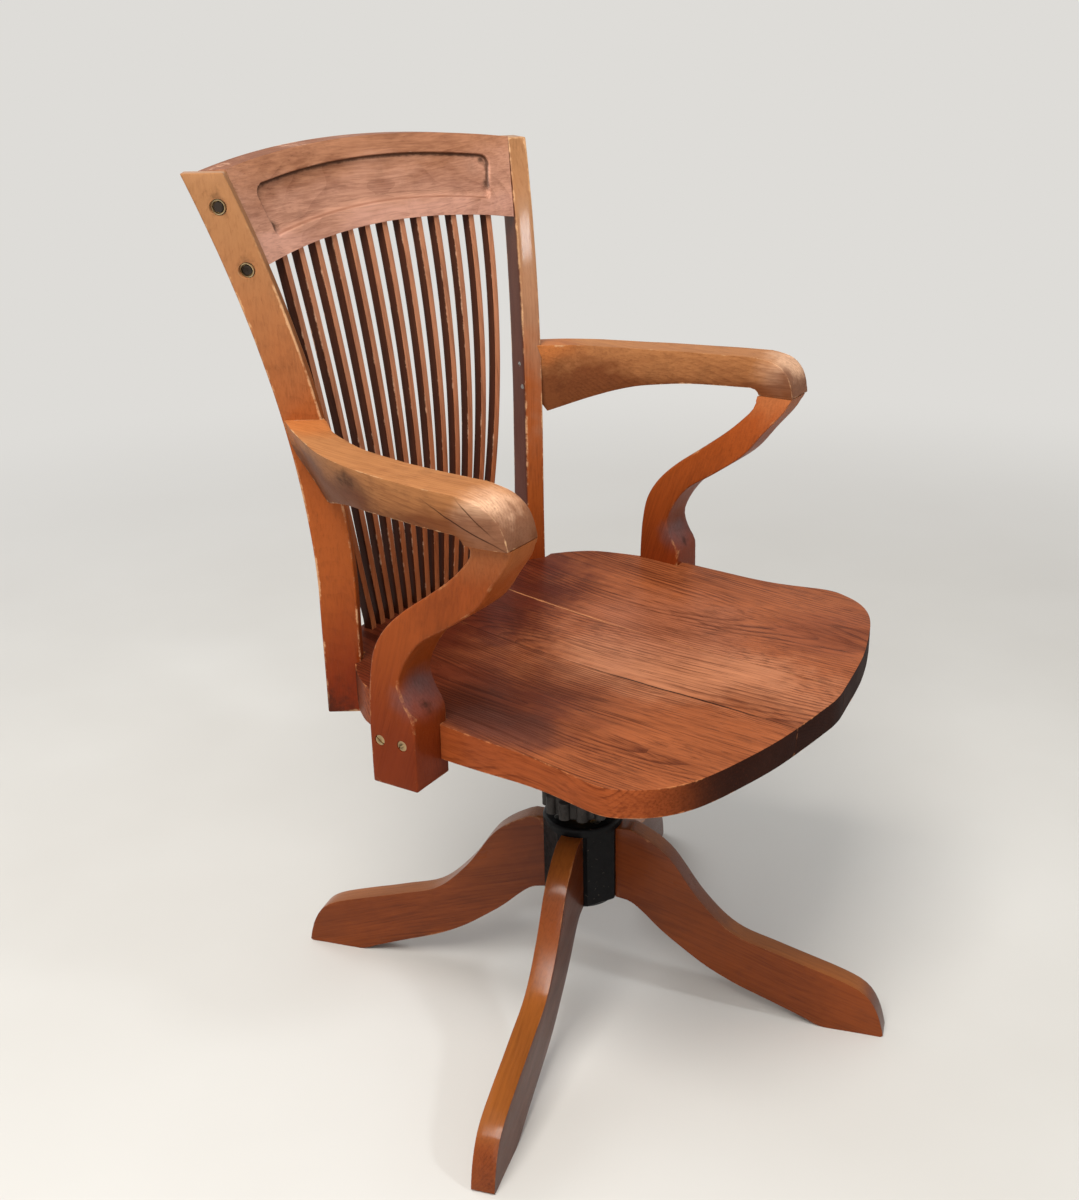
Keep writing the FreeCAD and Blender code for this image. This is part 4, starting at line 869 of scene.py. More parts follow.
def make_seat(material_of):
    """The three seat boards, sawn from one scooped blank."""
    blank = seat_blank()
    ease_edges(blank, SEAT_EASE, segments=4, sharpness=50, test=on_seat_rim)
    ease_edges(blank, SEAT_CHAMFER, segments=1, sharpness=50, test=under_seat)
    for side in SIDES:
        cut_notch(blank, side)
    along = Vector((math.sin(BOARD_TURN), math.cos(BOARD_TURN), 0))
    across = Vector((along.y, -along.x, 0))
    joint_right = Vector((BOARD_RIGHT, BOARD_LINE, 0))
    joint_left = Vector((BOARD_LEFT, BOARD_LINE, 0))
    cuts = {"seat_board_right": [(joint_right, across)],
            "seat_board_middle": [(joint_right, -across), (joint_left, across)],
            "seat_board_left": [(joint_left, -across)]}
    for name, planes in cuts.items():
        board = blank.copy()
        board.data = blank.data.copy()
        board.name = name
        board.data.name = name
        bpy.context.collection.objects.link(board)
        edit(board)
        for place, normal in planes:
            bpy.ops.mesh.select_all(action="SELECT")
            bpy.ops.mesh.bisect(plane_co=place - normal * BOARD_GAP, plane_no=normal, use_fill=True,
                                clear_outer=True)
        bpy.ops.object.mode_set(mode="OBJECT")
        age(board, stains_and_shade=[SEAT_STAIN], seed=13.0)
        finish_piece(board, material_of[name], "seat", [name])
    bpy.data.objects.remove(blank)


def make_leg(name, turn, material):
    """A leg: dovetail tenon at the hub, swept down to a flat sole and a rounded toe."""
    count = 50
    reach = LEG_REACH - LEG_FACE
    top = smooth([Vector((LEG_FACE + share * reach, 0, z * MM)) for share, z in LEG_TOP], count)
    bottom = smooth([Vector((LEG_FACE + share * reach, 0, z * MM)) for share, z in LEG_BOTTOM], count)
    bottom = [Vector((point.x, 0, max(0.0, point.z))) for point in bottom]
    inside = Vector((TENON_DEPTH, 0, 0))
    stations = [(top[0] - inside, bottom[0] - inside, TENON_ROOT / 2), (top[0], bottom[0], TENON_MOUTH / 2)]
    stations += [(upper, lower, LEG_WIDTH / 2) for upper, lower in zip(top, bottom)]
    spin = Matrix.Rotation(math.radians(BASE_TURN + turn), 4, "Z")
    loops = []
    for upper, lower, half in stations:
        side = Vector((0, half, 0))
        corners = [spin @ corner for corner in (upper + side, upper - side, lower - side, lower + side)]
        loops.append(section(corners, (3, 5)))
    leg = loft(name, loops)
    ease_edges(leg, LEG_EASE, segments=4, sharpness=45,
               test=lambda edge: min(vert.co.xy.length for vert in edge.verts) > LEG_FACE + 1 * MM)
    age(leg, ripple=0.2 * MM, seed=turn / 10)
    finish_piece(leg, material, "base", [name])


def post_axes(height, side):
    """Across and back directions of a post at a height."""
    start = post_point(height, side, 0, 0)
    return post_point(height, side, 1, 0) - start, post_point(height, side, 0, 1) - start


def polar(radius, degrees, height):
    """A point at a radius and an angle round the swivel axis."""
    angle = math.radians(degrees)
    return Vector((radius * math.cos(angle), radius * math.sin(angle), height))


def make_screws(name, sizes, places, material, body, sunk=0.0):
    """Slotted countersunk screws at their places: one is made, the others are copies of it."""
    head, head_height, shank, length = sizes
    rings = ((0.3 * head, 0), (0.72 * head, 0.05 * MM), (0.9 * head, 0.12 * MM), (head, 0.35 * MM),
             (shank, head_height), (shank, length - 3 * MM), (0.25 * shank, length))
    loops = [[Vector((radius * math.cos(turn), radius * math.sin(turn), depth))
              for turn in (math.tau * step / 24 for step in range(24))] for radius, depth in rings]
    screw = loft(name, loops)
    settle()
    bpy.ops.mesh.primitive_cube_add(size=1)
    cutter = bpy.context.object
    cutter.data.transform(Matrix.Diagonal((3 * head, SLOT_WIDTH * head, 2 * SLOT_DEPTH * head_height, 1)))
    carve(screw, cutter)
    copies = []
    for number, (place, direction) in enumerate(places):
        copy = screw.copy()
        copy.data = screw.data.copy()
        bpy.context.collection.objects.link(copy)
        turn = Vector(direction).to_track_quat("Z", "Y").to_matrix().to_4x4()
        slot_turn = Matrix.Rotation(SLOT_FIRST_TURN + SLOT_NEXT_TURN * number, 4, "Z")
        copy.data.transform(Matrix.Translation(Vector(place) + Vector(direction).normalized() * sunk)
                            @ turn @ slot_turn)
        depths = [max(0.0, (Vector(place) - vert.co).length / head) for vert in copy.data.vertices]
        layer = copy.data.attributes.new("worn", "FLOAT", "POINT")
        layer.data.foreach_set("value", [max(0.0, min(1.0, (depth - 0.5) * 2)) for depth in depths])
        copies.append(copy)
    bpy.data.objects.remove(screw)
    take(copies[0])
    for copy in copies[1:]:
        copy.select_set(True)
    bpy.ops.object.join()
    joined = bpy.context.object
    joined.name = name
    joined.data.name = name
    finish_piece(joined, material, body, [name])


def make_spindle(material):
    """The spindle: a helical thread all along, and closed, eased ends."""
    around = 48
    rise = 1.25 * MM
    steps = round((SPINDLE_HEAD - SPINDLE_FOOT) / rise)
    settle()
    bpy.ops.mesh.primitive_grid_add(x_subdivisions=around, y_subdivisions=steps, size=2)
    spindle = bpy.context.object
    spindle.name = "spindle"
    spindle.data.name = "spindle"
    for vert in spindle.data.vertices:
        share = (vert.co.x + 1) / 2
        height = SPINDLE_FOOT + (SPINDLE_HEAD - SPINDLE_FOOT) * (vert.co.y + 1) / 2
        phase = (height / THREAD_PITCH + share) % 1
        crest = min(1.0, max(0.0, (0.5 - abs(phase - 0.5)) * 4 - 0.5))
        ends = min(height - SPINDLE_FOOT, SPINDLE_HEAD - height)
        radius = SPINDLE_ROOT + (SPINDLE_RADIUS - SPINDLE_ROOT) * crest * min(1.0, ends / (3 * MM))
        radius -= max(0.0, 1.5 * MM - ends)
        vert.co = polar(radius, 360 * share, height)
    edit(spindle)
    bpy.ops.mesh.select_all(action="SELECT")
    bpy.ops.mesh.remove_doubles(threshold=0.01 * MM)
    bpy.ops.mesh.select_all(action="DESELECT")
    pick(spindle, "edges", lambda edge: edge.is_boundary)
    bpy.ops.mesh.edge_face_add()
    bpy.ops.mesh.select_all(action="SELECT")
    bpy.ops.mesh.normals_make_consistent(inside=False)
    bpy.ops.object.mode_set(mode="OBJECT")
    finish_piece(spindle, material, "seat", ["spindle"], angle=60)


def colour(red, green, blue):
    """A colour as it looks, 0 to 255, in the linear values that shaders take."""
    return tuple((value / 255 / 12.92 if value <= 10.3 else ((value / 255 + 0.055) / 1.055) ** 2.4)
                 for value in (red, green, blue)) + (1.0,)


# Grain: how finely each layer of noise repeats, twice across the grain and then along it.
SWERVE_STRETCH = (9, 9, 2.2)
SWERVE_REACH = (0.035, 0.035, 0.0)
PATCH_STRETCH = (22, 22, 6)
BROAD_STRETCH = (15, 15, 5)
FIBRE_STRETCH = (520, 520, 13)
STRAND_STRETCH = (260, 260, 8)
LINE_STRETCH = (430, 430, 5)
PORE_STRETCH = (1150, 1150, 38)
SCRATCH_STRETCH = (1500, 1500, 90)

# How a colour is made lighter and darker by the grain, and for pores and end grain.
GRAIN_PALE = 1.15
GRAIN_DEEP = (0.50, 0.42, 0.38)
PORE_TONE = (0.35, 0.3, 0.3)
END_GRAIN_TONE = (0.16, 0.16, 0.2)

# Soft patches, changes of tone with height, and fine lines on the wood.
ZONE_CORE = 0.35
ZONE_WANDER = 0.9
FALL_WANDER = 30 * MM
SEAM_WANDER = (4 * MM, 4 * MM, 4 * MM)
STRAIGHT_SEAM = 0.8 * MM

# Dirt of different kinds; the second is also used for painted shade.
GRIME = colour(52, 28, 18)
DIRT_AND_SHADE = colour(40, 22, 14)
DUST = colour(38, 35, 33)

# Darker patches and worn places on the seat: centre, radii, colour and amount.
SEAT_ZONES = (((-0.01, -0.13, 0.43), (0.10, 0.22, 0.1), colour(184, 124, 90), 0.65),
              ((0.08, -0.06, 0.43), (0.12, 0.14, 0.1), colour(144, 88, 64), 0.6),
              ((-0.18, 0.03, 0.44), (0.12, 0.19, 0.1), colour(96, 40, 24), 0.85),
              ((-0.215, -0.045, 0.44), (0.05, 0.09, 0.05), colour(88, 50, 40), 0.8),
              ((0.02, 0.15, 0.45), (0.32, 0.14, 0.1), colour(74, 24, 14), 0.9),
              ((-0.12, -0.22, 0.43), (0.13, 0.06, 0.06), colour(136, 74, 42), 0.75),
              ((0.15, -0.22, 0.43), (0.1, 0.08, 0.06), colour(118, 58, 34), 0.6))

# Each seat board's pith and the climb of its grain.
SEAT_BOARDS = {"seat_board_right": ((-0.15, -0.12, 0.36), 0.055),
               "seat_board_middle": ((-0.03, 0.0, 0.31), -0.05),
               "seat_board_left": ((0.17, -0.05, 0.345), 0.07)}

# The side of a leg that faces away from the key lamp.
SHADED_SIDE = (0.242, -0.97, 0)

# Floor, background, sky and lamps: name, place, size, power, tint and the place that it lights.
FLOOR_SIZE = 60
FLOOR_FADE = (0.9, 3.0)
FLOOR_DARK = colour(198, 195, 190)
FLOOR_LIGHT = colour(208, 206, 202)
BACKGROUND = colour(222, 220, 216)
SKY_COLOUR = (1.0, 0.985, 0.96, 1)
SKY_LOW = 0.14
SKY_HIGH = 0.62
SKY_CLIMB = (0.3, 0.85)
CHAIR_MIDDLE = (0, 0, 0.5)
FAR_POST = (0.21, 0.19, 0.82)
LAMPS = (("key", (-1.7, -0.3, 2.8), 1.4, 96, (1.0, 0.97, 0.92), CHAIR_MIDDLE),
         ("fill", (-2.7, -1.0, 1.2), 1.8, 13, (1.0, 0.98, 0.95), CHAIR_MIDDLE),
         ("rim", (0.3, 2.3, 2.3), 1.4, 24, (0.94, 0.97, 1.0), CHAIR_MIDDLE),
         ("window", (-0.21, -1.78, 1.70), 0.22, 12, (0.9, 0.96, 1.0), FAR_POST))


class Nodes:
    """A node tree, with short ways to add to it."""

    def __init__(self, tree):
        self.tree = tree
        tree.nodes.clear()

    def add(self, kind, inputs=(), **settings):
        """Adds a node, sets its settings, and sets or links its inputs."""
        node = self.tree.nodes.new(kind)
        for key, value in settings.items():
            setattr(node, key, value)
        for key, value in dict(inputs).items():
            self.put(node.inputs[key], value)
        return node

    def put(self, socket, value):
        """Links a socket, or sets its value."""
        if isinstance(value, bpy.types.NodeSocket):
            self.tree.links.new(value, socket)
        else:
            socket.default_value = value

    def vector(self, operation, a, b=(0, 0, 0)):
        """Two vectors combined, or the length of one."""
        node = self.add("ShaderNodeVectorMath", {0: a, 1: b}, operation=operation)
        return node.outputs["Value" if operation in ("LENGTH", "DOT_PRODUCT") else 0]

    def sum(self, a, b, operation="ADD"):
        """Two values combined."""
        return self.add("ShaderNodeMath", {0: a, 1: b}, operation=operation).outputs[0]

    def times(self, a, b):
        """One value multiplied by another."""
        return self.sum(a, b, "MULTIPLY")

    def fade(self, value, low, high, start=0.0, end=1.0):
        """A value taken smoothly from one range to another and held at its ends."""
        return self.add("ShaderNodeMapRange", {"Value": value, "From Min": low, "From Max": high,
                                               "To Min": start, "To Max": end},
                        interpolation_type="SMOOTHSTEP").outputs[0]

    def seen(self):
        """1 where the camera looks, also by a reflection or through glass, and 0 for other light."""
        path = self.add("ShaderNodeLightPath")
        reflected = self.sum(path.outputs["Is Glossy Ray"], path.outputs["Is Transmission Ray"], "MAXIMUM")
        return self.sum(path.outputs["Is Camera Ray"], reflected, "MAXIMUM")


class Finish(Nodes):
    """One material: its shader, and the coordinates and colours that its pattern is made from."""

    def __init__(self, name):
        self.material = bpy.data.materials.new(name)
        self.material.use_nodes = True
        super().__init__(self.material.node_tree)
        self.shader = self.add("ShaderNodeBsdfPrincipled")
        self.output = self.add("ShaderNodeOutputMaterial", {"Surface": self.shader.outputs[0]})
        coordinates = self.add("ShaderNodeTexCoord")
        self.place = coordinates.outputs["Object"]
        self.normal = coordinates.outputs["Normal"]

    def shade(self, **values):
        """Sets or links the sockets of the shader."""
        for key, value in values.items():
            self.put(self.shader.inputs[key.replace("_", " ")], value)

    def mottle(self, where, scale=1.0, detail=2.0, rough=0.5):
        """A noise node."""
        return self.add("ShaderNodeTexNoise", {"Vector": where, "Scale": scale, "Detail": detail,
                                               "Roughness": rough})

    def cloud(self, where, **settings):
        """Soft noise, 0 to 1."""
        return self.mottle(where, **settings).outputs["Fac"]

    def drift(self, where, **settings):
        """Soft noise in three directions, each 0 to 1."""
        return self.mottle(where, **settings).outputs["Color"]

    def mix(self, share, a, b):
        """Two colours mixed."""
        node = self.add("ShaderNodeMix", data_type="RGBA")
        self.put(node.inputs[0], share)
        self.put(node.inputs[6], a)
        self.put(node.inputs[7], b)
        return node.outputs[2]

    def mark(self, name):
        """A value written on the piece's vertices."""
        return self.add("ShaderNodeAttribute", attribute_name=name).outputs["Fac"]

    def facing(self, direction):
        """How far the surface, as modelled, faces a direction, from -1 to 1."""
        return self.vector("DOT_PRODUCT", self.normal, tuple(Vector(direction).normalized()))

    def zone(self, centre, radii, wander, amount):
        """A soft patch about a centre, 0 outside its radii, with a wandering edge."""
        away = self.vector("DIVIDE", self.vector("SUBTRACT", self.place, tuple(centre)), tuple(radii))
        away = self.vector("ADD", away, self.vector("MULTIPLY", wander, (ZONE_WANDER,) * 3))
        return self.fade(self.vector("LENGTH", away), ZONE_CORE, 1.0, amount, 0.0)

    def toned(self, grain, shade):
        """A colour with the light and dark of the grain in it."""
        pale = tuple(min(1.0, value * GRAIN_PALE) for value in shade[:3]) + (1,)
        return self.mix(grain, pale, scaled(shade, GRAIN_DEEP))

    def bump(self, height, strength, distance):
        """Gives the shader its surface relief."""
        node = self.add("ShaderNodeBump", {"Height": height, "Strength": strength, "Distance": distance})
        self.shade(Normal=node.outputs[0])


def scaled(shade, factors):
    """A colour with its red, green and blue multiplied."""
    return tuple(value * factor for value, factor in zip(shade, factors)) + (1,)


def grain_turn(direction, face):
    """The turn that brings the grain onto the vertical, and a board's main face onto the second axis."""
    up = Vector(direction).normalized()
    side = up.cross(Vector(face)).normalized()
    return Matrix((side, up.cross(side), up)).to_euler("XYZ")


def grain_layers(finish, direction, face, pith, ring):
    """The layers of a board's grain, each 0 to 1, on coordinates that run along it from its pith."""
    turn = grain_turn(direction, face)
    shift = tuple(-(turn.to_matrix() @ Vector(pith)))
    turned = finish.add("ShaderNodeMapping", {"Vector": finish.place, "Rotation": turn,
                                              "Location": shift}).outputs[0]
    swerve = finish.drift(finish.vector("MULTIPLY", turned, SWERVE_STRETCH), detail=2.5)
    bent = finish.vector("ADD", turned, finish.vector("MULTIPLY", swerve, SWERVE_REACH))

    def layer(source, stretch, **settings):
        return finish.cloud(finish.vector("MULTIPLY", source, stretch), **settings)

    rings = finish.add("ShaderNodeTexWave", {"Vector": bent, "Scale": 2 * math.pi / (20 * ring * MM),
                                             "Distortion": 0.35, "Detail": 1.0, "Detail Scale": 0.6},
                       wave_type="RINGS", rings_direction="Z", wave_profile="SAW").outputs["Fac"]
    pores = finish.fade(layer(bent, PORE_STRETCH, detail=1.0), 0.60, 0.70)
    return {"late": finish.fade(rings, 0.45, 1.0),
            "patchy": finish.fade(layer(turned, PATCH_STRETCH), 0.38, 0.62, 0.15, 1.0),
            "fibre": layer(bent, FIBRE_STRETCH, detail=3.0, rough=0.65),
            "strand": layer(bent, STRAND_STRETCH, detail=4.0, rough=0.7),
            "lines": finish.fade(layer(bent, LINE_STRETCH), 0.56, 0.66),
            "pores": finish.times(pores, finish.fade(rings, 0.2, 0.9, 0.2, 1.0)),
            "broad": layer(turned, BROAD_STRETCH, detail=5.0, rough=0.6)}


def add_seams(finish, body, wander, seams):
    """Fine lines on the wood, each where a plane meets the surface."""
    for point, normal, centre, radii, half, shade, amount in seams:
        place = finish.place
        if half > STRAIGHT_SEAM:
            place = finish.vector("ADD", place, finish.vector("MULTIPLY", wander, SEAM_WANDER))
        away = finish.vector("SUBTRACT", place, tuple(point))
        away = finish.vector("DOT_PRODUCT", away, tuple(Vector(normal).normalized()))
        line = finish.fade(finish.sum(away, 0.0, "ABSOLUTE"), half * 0.4, half, 1.0, 0.0)
        body = finish.mix(finish.times(line, finish.zone(centre, radii, wander, amount)), body, shade)
    return body


def wood(name, direction, face, light, dark, bare, pith, ring=4.0, figure=0.3, streaks=0.35, clouds=0.4,
         grime=0.5, wear=0.0, rough=0.42, coat=0.1, shine=0.04, end_grain=0.0, lines=0.2,
         pored=0.25, coat_rough=0.22, sides=(), zones=(), falls=(), seams=()):
    """Stained hardwood: rings about a far pith, fibres and pores along the grain, age and wear.

    zones are soft patches: centre, radii, colour and amount.
    falls are changes of tone with height: from, to, colour and amount.
    sides are faces that look one way, with painted light and shade on them: direction, colour and amount.
    seams are fine lines where a plane meets the surface: a point on the plane, its normal, centre
    and radii of the stretch that shows, half width, colour and amount.
    """
    finish = Finish(name)
    layers = grain_layers(finish, direction, face, pith, ring)
    broad = layers["broad"]
    blotch = finish.fade(finish.cloud(finish.place, scale=30.0, detail=6.0, rough=0.68), 0.52, 0.72)
    wander = finish.vector("SUBTRACT", finish.drift(finish.place, scale=22.0, detail=4.0, rough=0.6),
                           (0.5, 0.5, 0.5))

    tone = finish.times(finish.times(layers["late"], layers["patchy"]), figure)
    tone = finish.sum(tone, finish.fade(layers["fibre"], 0.33, 0.68, 0.0, streaks * 0.6))
    tone = finish.sum(tone, finish.fade(layers["strand"], 0.36, 0.66, 0.0, streaks * 0.7))
    tone = finish.sum(tone, finish.fade(broad, 0.34, 0.68, 0.0, clouds))
    grain = finish.fade(tone, 0.0, 1.15)
    body = finish.mix(grain, light, dark)
    for centre, radii, shade, amount in zones:
        body = finish.mix(finish.zone(centre, radii, wander, amount), body, finish.toned(grain, shade))
    height = finish.add("ShaderNodeSeparateXYZ", {0: finish.place}).outputs[2]
    ragged = finish.sum(height, finish.fade(broad, 0.2, 0.8, -FALL_WANDER, FALL_WANDER))
    for low, high, shade, amount in falls:
        body = finish.mix(finish.fade(ragged, low, high, 0.0, amount), body, finish.toned(grain, shade))
    if end_grain:
        across = finish.sum(finish.facing(direction), 0.0, "ABSOLUTE")
        ends = finish.fade(across, 0.4, 0.85, 0.0, end_grain)
        body = finish.mix(ends, body, scaled(dark, END_GRAIN_TONE))
    body = finish.mix(finish.times(layers["pores"], pored), body, scaled(dark, PORE_TONE))
    body = finish.mix(finish.times(layers["lines"], lines), body, finish.toned(1.0, dark))
    body = finish.mix(finish.times(blotch, 0.3 * grime), body, GRIME)
    # Painted light and shade on the faces that look one way.
    for painted_facing, shade, amount in sides:
        lit_and_shaded_share = finish.fade(finish.facing(painted_facing), 0.45, 0.95, 0.0, amount)
        body = finish.mix(lit_and_shaded_share, body, finish.toned(grain, shade))

    chips = finish.cloud(finish.place, scale=120.0, detail=5.0, rough=0.65)
    patches = finish.cloud(finish.place, scale=16.0)
    edge = finish.sum(finish.mark("worn"), finish.sum(finish.times(chips, 0.8), finish.times(patches, 0.8)))
    worn = finish.fade(edge, 1.80 - wear, 2.02 - wear, 0.0, 0.75)
    body = finish.mix(worn, body, bare)
    # Stains and painted shade from the marks written on the piece, broken up by chips.
    dirt_and_shade = finish.fade(finish.sum(finish.mark("stain_and_shade"), finish.times(chips, 0.9)), 0.62, 1.25, 0.0, 0.8)
    body = finish.mix(dirt_and_shade, body, DIRT_AND_SHADE)
    body = add_seams(finish, body, wander, seams)

    gloss = finish.sum(finish.fade(broad, 0.3, 0.7, rough - 0.07, rough + 0.09), finish.times(worn, 0.12))
    if end_grain:
        gloss = finish.sum(gloss, finish.times(ends, 0.35))
    gloss = finish.sum(gloss, finish.sum(finish.times(layers["pores"], 0.12), finish.times(dirt_and_shade, 0.15)))
    relief = finish.sum(finish.times(layers["fibre"], 0.3), finish.times(layers["pores"], -0.5))
    relief = finish.sum(relief, finish.times(layers["late"], -0.12 * min(1.0, figure * 2)))
    relief = finish.sum(relief, finish.times(finish.times(chips, worn), 0.6))
    finish.bump(relief, 0.4, 0.5 * MM)
    finish.shade(Base_Color=body, Roughness=gloss, Coat_Weight=coat, Coat_Roughness=coat_rough,
                 Specular_IOR_Level=shine)
    return finish.material


def metal(name, base, tarnish, rough=0.35, metallic=1.0, pitting=0.3, spread=0.5):
    """A metal with tarnish in patches, fine scratches and a cast or rolled skin."""
    finish = Finish(name)
    patches = finish.cloud(finish.place, scale=70.0, detail=4.0, rough=0.6)
    patches = finish.sum(patches, finish.times(finish.mark("worn"), -0.3))
    skin = finish.cloud(finish.place, scale=260.0, detail=3.0, rough=0.6)
    scratch = finish.cloud(finish.vector("MULTIPLY", finish.place, SCRATCH_STRETCH), detail=1.0)
    share = finish.fade(patches, 0.62 - spread * 0.3, 0.72)
    gloss = finish.sum(finish.fade(skin, 0.3, 0.7, rough - 0.07, rough + 0.1), finish.times(share, 0.18))
    finish.shade(Base_Color=finish.mix(share, base, tarnish), Metallic=metallic, Roughness=gloss)
    finish.bump(finish.sum(skin, finish.times(scratch, 0.3)), pitting, 0.3 * MM)
    return finish.material


def paint(name, coat_colour, chip_colour, rough=0.42):
    """Old black paint on a casting: lumpy skin, dust and small chips."""
    finish = Finish(name)
    lumps = finish.cloud(finish.place, scale=120.0, detail=4.0, rough=0.6)
    dust = finish.fade(finish.cloud(finish.place, scale=30.0, detail=5.0, rough=0.7), 0.55, 0.85, 0.0, 0.3)
    chips = finish.fade(finish.cloud(finish.place, scale=170.0, detail=3.0, rough=0.7), 0.66, 0.69)
    body = finish.mix(dust, coat_colour, DUST)
    body = finish.mix(chips, body, chip_colour)
    finish.shade(Base_Color=body, Roughness=finish.fade(lumps, 0.3, 0.7, rough - 0.1, rough + 0.15),
                 Specular_IOR_Level=0.12)
    finish.bump(finish.sum(lumps, finish.times(chips, -0.5)), 0.5, 0.8 * MM)
    return finish.material


def dress_node(name, material):
    """Gives a CAD piece that keeps its shape its material."""
    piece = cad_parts[name]
    for place in piece.material_slots:
        place.material = material


def make_stage():
    """Pale floor, evenly pale far away, that keeps the chair's shadow."""
    settle()
    bpy.ops.mesh.primitive_plane_add(size=1)
    floor = bpy.context.object
    floor.name = "floor"
    floor.data.transform(Matrix.Diagonal((FLOOR_SIZE, FLOOR_SIZE, 1, 1)))
    pale = Finish("pale_floor")
    speck = pale.cloud(pale.place, scale=3.0, detail=3.0)
    pale.shade(Base_Color=pale.mix(speck, FLOOR_DARK, FLOOR_LIGHT), Roughness=0.8)
    far = pale.fade(pale.vector("LENGTH", pale.place), *FLOOR_FADE)
    glow = pale.add("ShaderNodeEmission", {"Color": BACKGROUND, "Strength": 1.0})
    blend = pale.add("ShaderNodeMixShader", {0: pale.times(far, pale.seen()), 1: pale.shader.outputs[0],
                                             2: glow.outputs[0]})
    pale.put(pale.output.inputs["Surface"], blend.outputs[0])
    floor.data.materials.append(pale.material)


def make_world():
    """A sky that brightens overhead for the light, and a pale ground for the background."""
    world = bpy.data.worlds.new("studio")
    bpy.context.scene.world = world
    world.use_nodes = True
    studio = Nodes(world.node_tree)
    heading = studio.add("ShaderNodeTexCoord").outputs["Generated"]
    upward = studio.add("ShaderNodeSeparateXYZ", {0: heading}).outputs[2]
    strength = studio.fade(upward, *SKY_CLIMB, SKY_LOW, SKY_HIGH)
    sky = studio.add("ShaderNodeBackground", {"Color": SKY_COLOUR, "Strength": strength})
    ground = studio.add("ShaderNodeBackground", {"Color": BACKGROUND, "Strength": 1.0})
    blend = studio.add("ShaderNodeMixShader", {0: studio.seen(), 1: sky.outputs[0], 2: ground.outputs[0]})
    studio.add("ShaderNodeOutputWorld", {"Surface": blend.outputs[0]})


def make_light(name, place, size, energy, tint, aim):
    """A square soft light that points at a place."""
    data = bpy.data.lights.new(name, "AREA")
    data.shape = "SQUARE"
    data.size = size
    data.energy = energy
    data.color = tint
    lamp = bpy.data.objects.new(name, data)
    lamp.location = place
    lamp.rotation_euler = (Vector(aim) - Vector(place)).to_track_quat("-Z", "Y").to_euler()
    bpy.context.collection.objects.link(lamp)


def make_camera():
    """The camera at the photograph's place, with its direction, roll and framing."""
    data = bpy.data.cameras.new("camera")
    data.sensor_fit = "HORIZONTAL"
    data.sensor_width = SENSOR_WIDTH
    data.lens = FOCAL_PIXELS * SENSOR_WIDTH / PICTURE_WIDTH
    data.shift_x = (PICTURE_WIDTH / 2 - PICTURE_CENTRE[0]) / PICTURE_WIDTH
    data.shift_y = (PICTURE_CENTRE[1] - PICTURE_HEIGHT / 2) / PICTURE_WIDTH
    camera = bpy.data.objects.new("camera", data)
    camera.location = CAMERA_PLACE
    look = Euler((math.radians(90 - CAMERA_PITCH), 0, math.radians(-CAMERA_YAW)), "XYZ").to_matrix()
    camera.rotation_euler = (look @ Matrix.Rotation(math.radians(-CAMERA_ROLL), 3, "Z")).to_euler()
    bpy.context.collection.objects.link(camera)
    bpy.context.scene.camera = camera


def paired(x, y, z):
    """A place on the right of the chair and its twin on the left, in millimetres."""
    return [(side * x * MM, y * MM, z * MM) for side in SIDES]


def post_wood(side):
    """Back post: golden at the top, redder and darker at the foot with painted shade under the arm, painted
    shade on the face towards the slats, and a painted sheen high on the far post's front.
    """
    inward = (-side * math.cos(POST_TURN), math.sin(POST_TURN), 0)
    # Painted sheen high on the front of the far post.
    far_post_sheen = ((0.22, 0.17, 0.78), (0.09, 0.09, 0.24), colour(150, 112, 88), 0.8)
    # The face towards the slats gets painted shade, and the foot gets painted shade under the arm.
    return wood("post_oak_%d" % (side + 2), (0.1, 0.1, 1), (1, 0, 0), colour(157, 80, 34),
                colour(110, 50, 18), colour(206, 160, 118), pith=(0.1, 0.4, 0.6), ring=3.0, figure=0.12,
                streaks=0.2, clouds=0.35, wear=0.05, rough=0.38, coat=0.13, coat_rough=0.12, lines=0.12,
                pored=0.15, sides=((inward, colour(67, 27, 18), 0.9),), zones=(far_post_sheen,),
                falls=((0.62, 0.90, colour(150, 108, 72), 0.9), (0.56, 0.40, colour(100, 27, 4), 0.9)))


def slat_wood():
    """Slats: paler faces, sides darkened by painted shade, browner towards the seat."""
    # Painted shade on the sides of the slats, between them.
    shaded_sides = [((side, 0, 0), colour(52, 22, 13), 0.95) for side in SIDES]
    return wood("slat_oak", (0, 0.1, 1), (0, 1, 0), colour(190, 128, 94), colour(120, 72, 50),
                colour(200, 154, 124), pith=(0.1, 0.5, 0.6), ring=2.6, figure=0.12, streaks=0.25,
                wear=-0.05, rough=0.4, falls=((0.74, 0.52, colour(150, 82, 44), 0.85),), sides=shaded_sides)


def rail_wood():
    """Top rail: soft pinkish brown, painted shade on the faces of the crest that look up."""
    # Painted shade on the faces that look up.
    return wood("rail_oak", (1, 0, 0), (0, 1, 0), colour(200, 148, 122), colour(144, 97, 78),
                colour(200, 154, 128), pith=(0, 0.42, 0.8), ring=4.4, figure=0.18, streaks=0.3, clouds=0.5,
                rough=0.48, wear=-0.04, lines=0.2, sides=(((0, 0.2, 1), colour(112, 66, 44), 0.8),),
                falls=((0.885, 0.925, colour(172, 116, 80), 0.7),
                       (0.866, 0.845, colour(194, 145, 127), 0.7)))


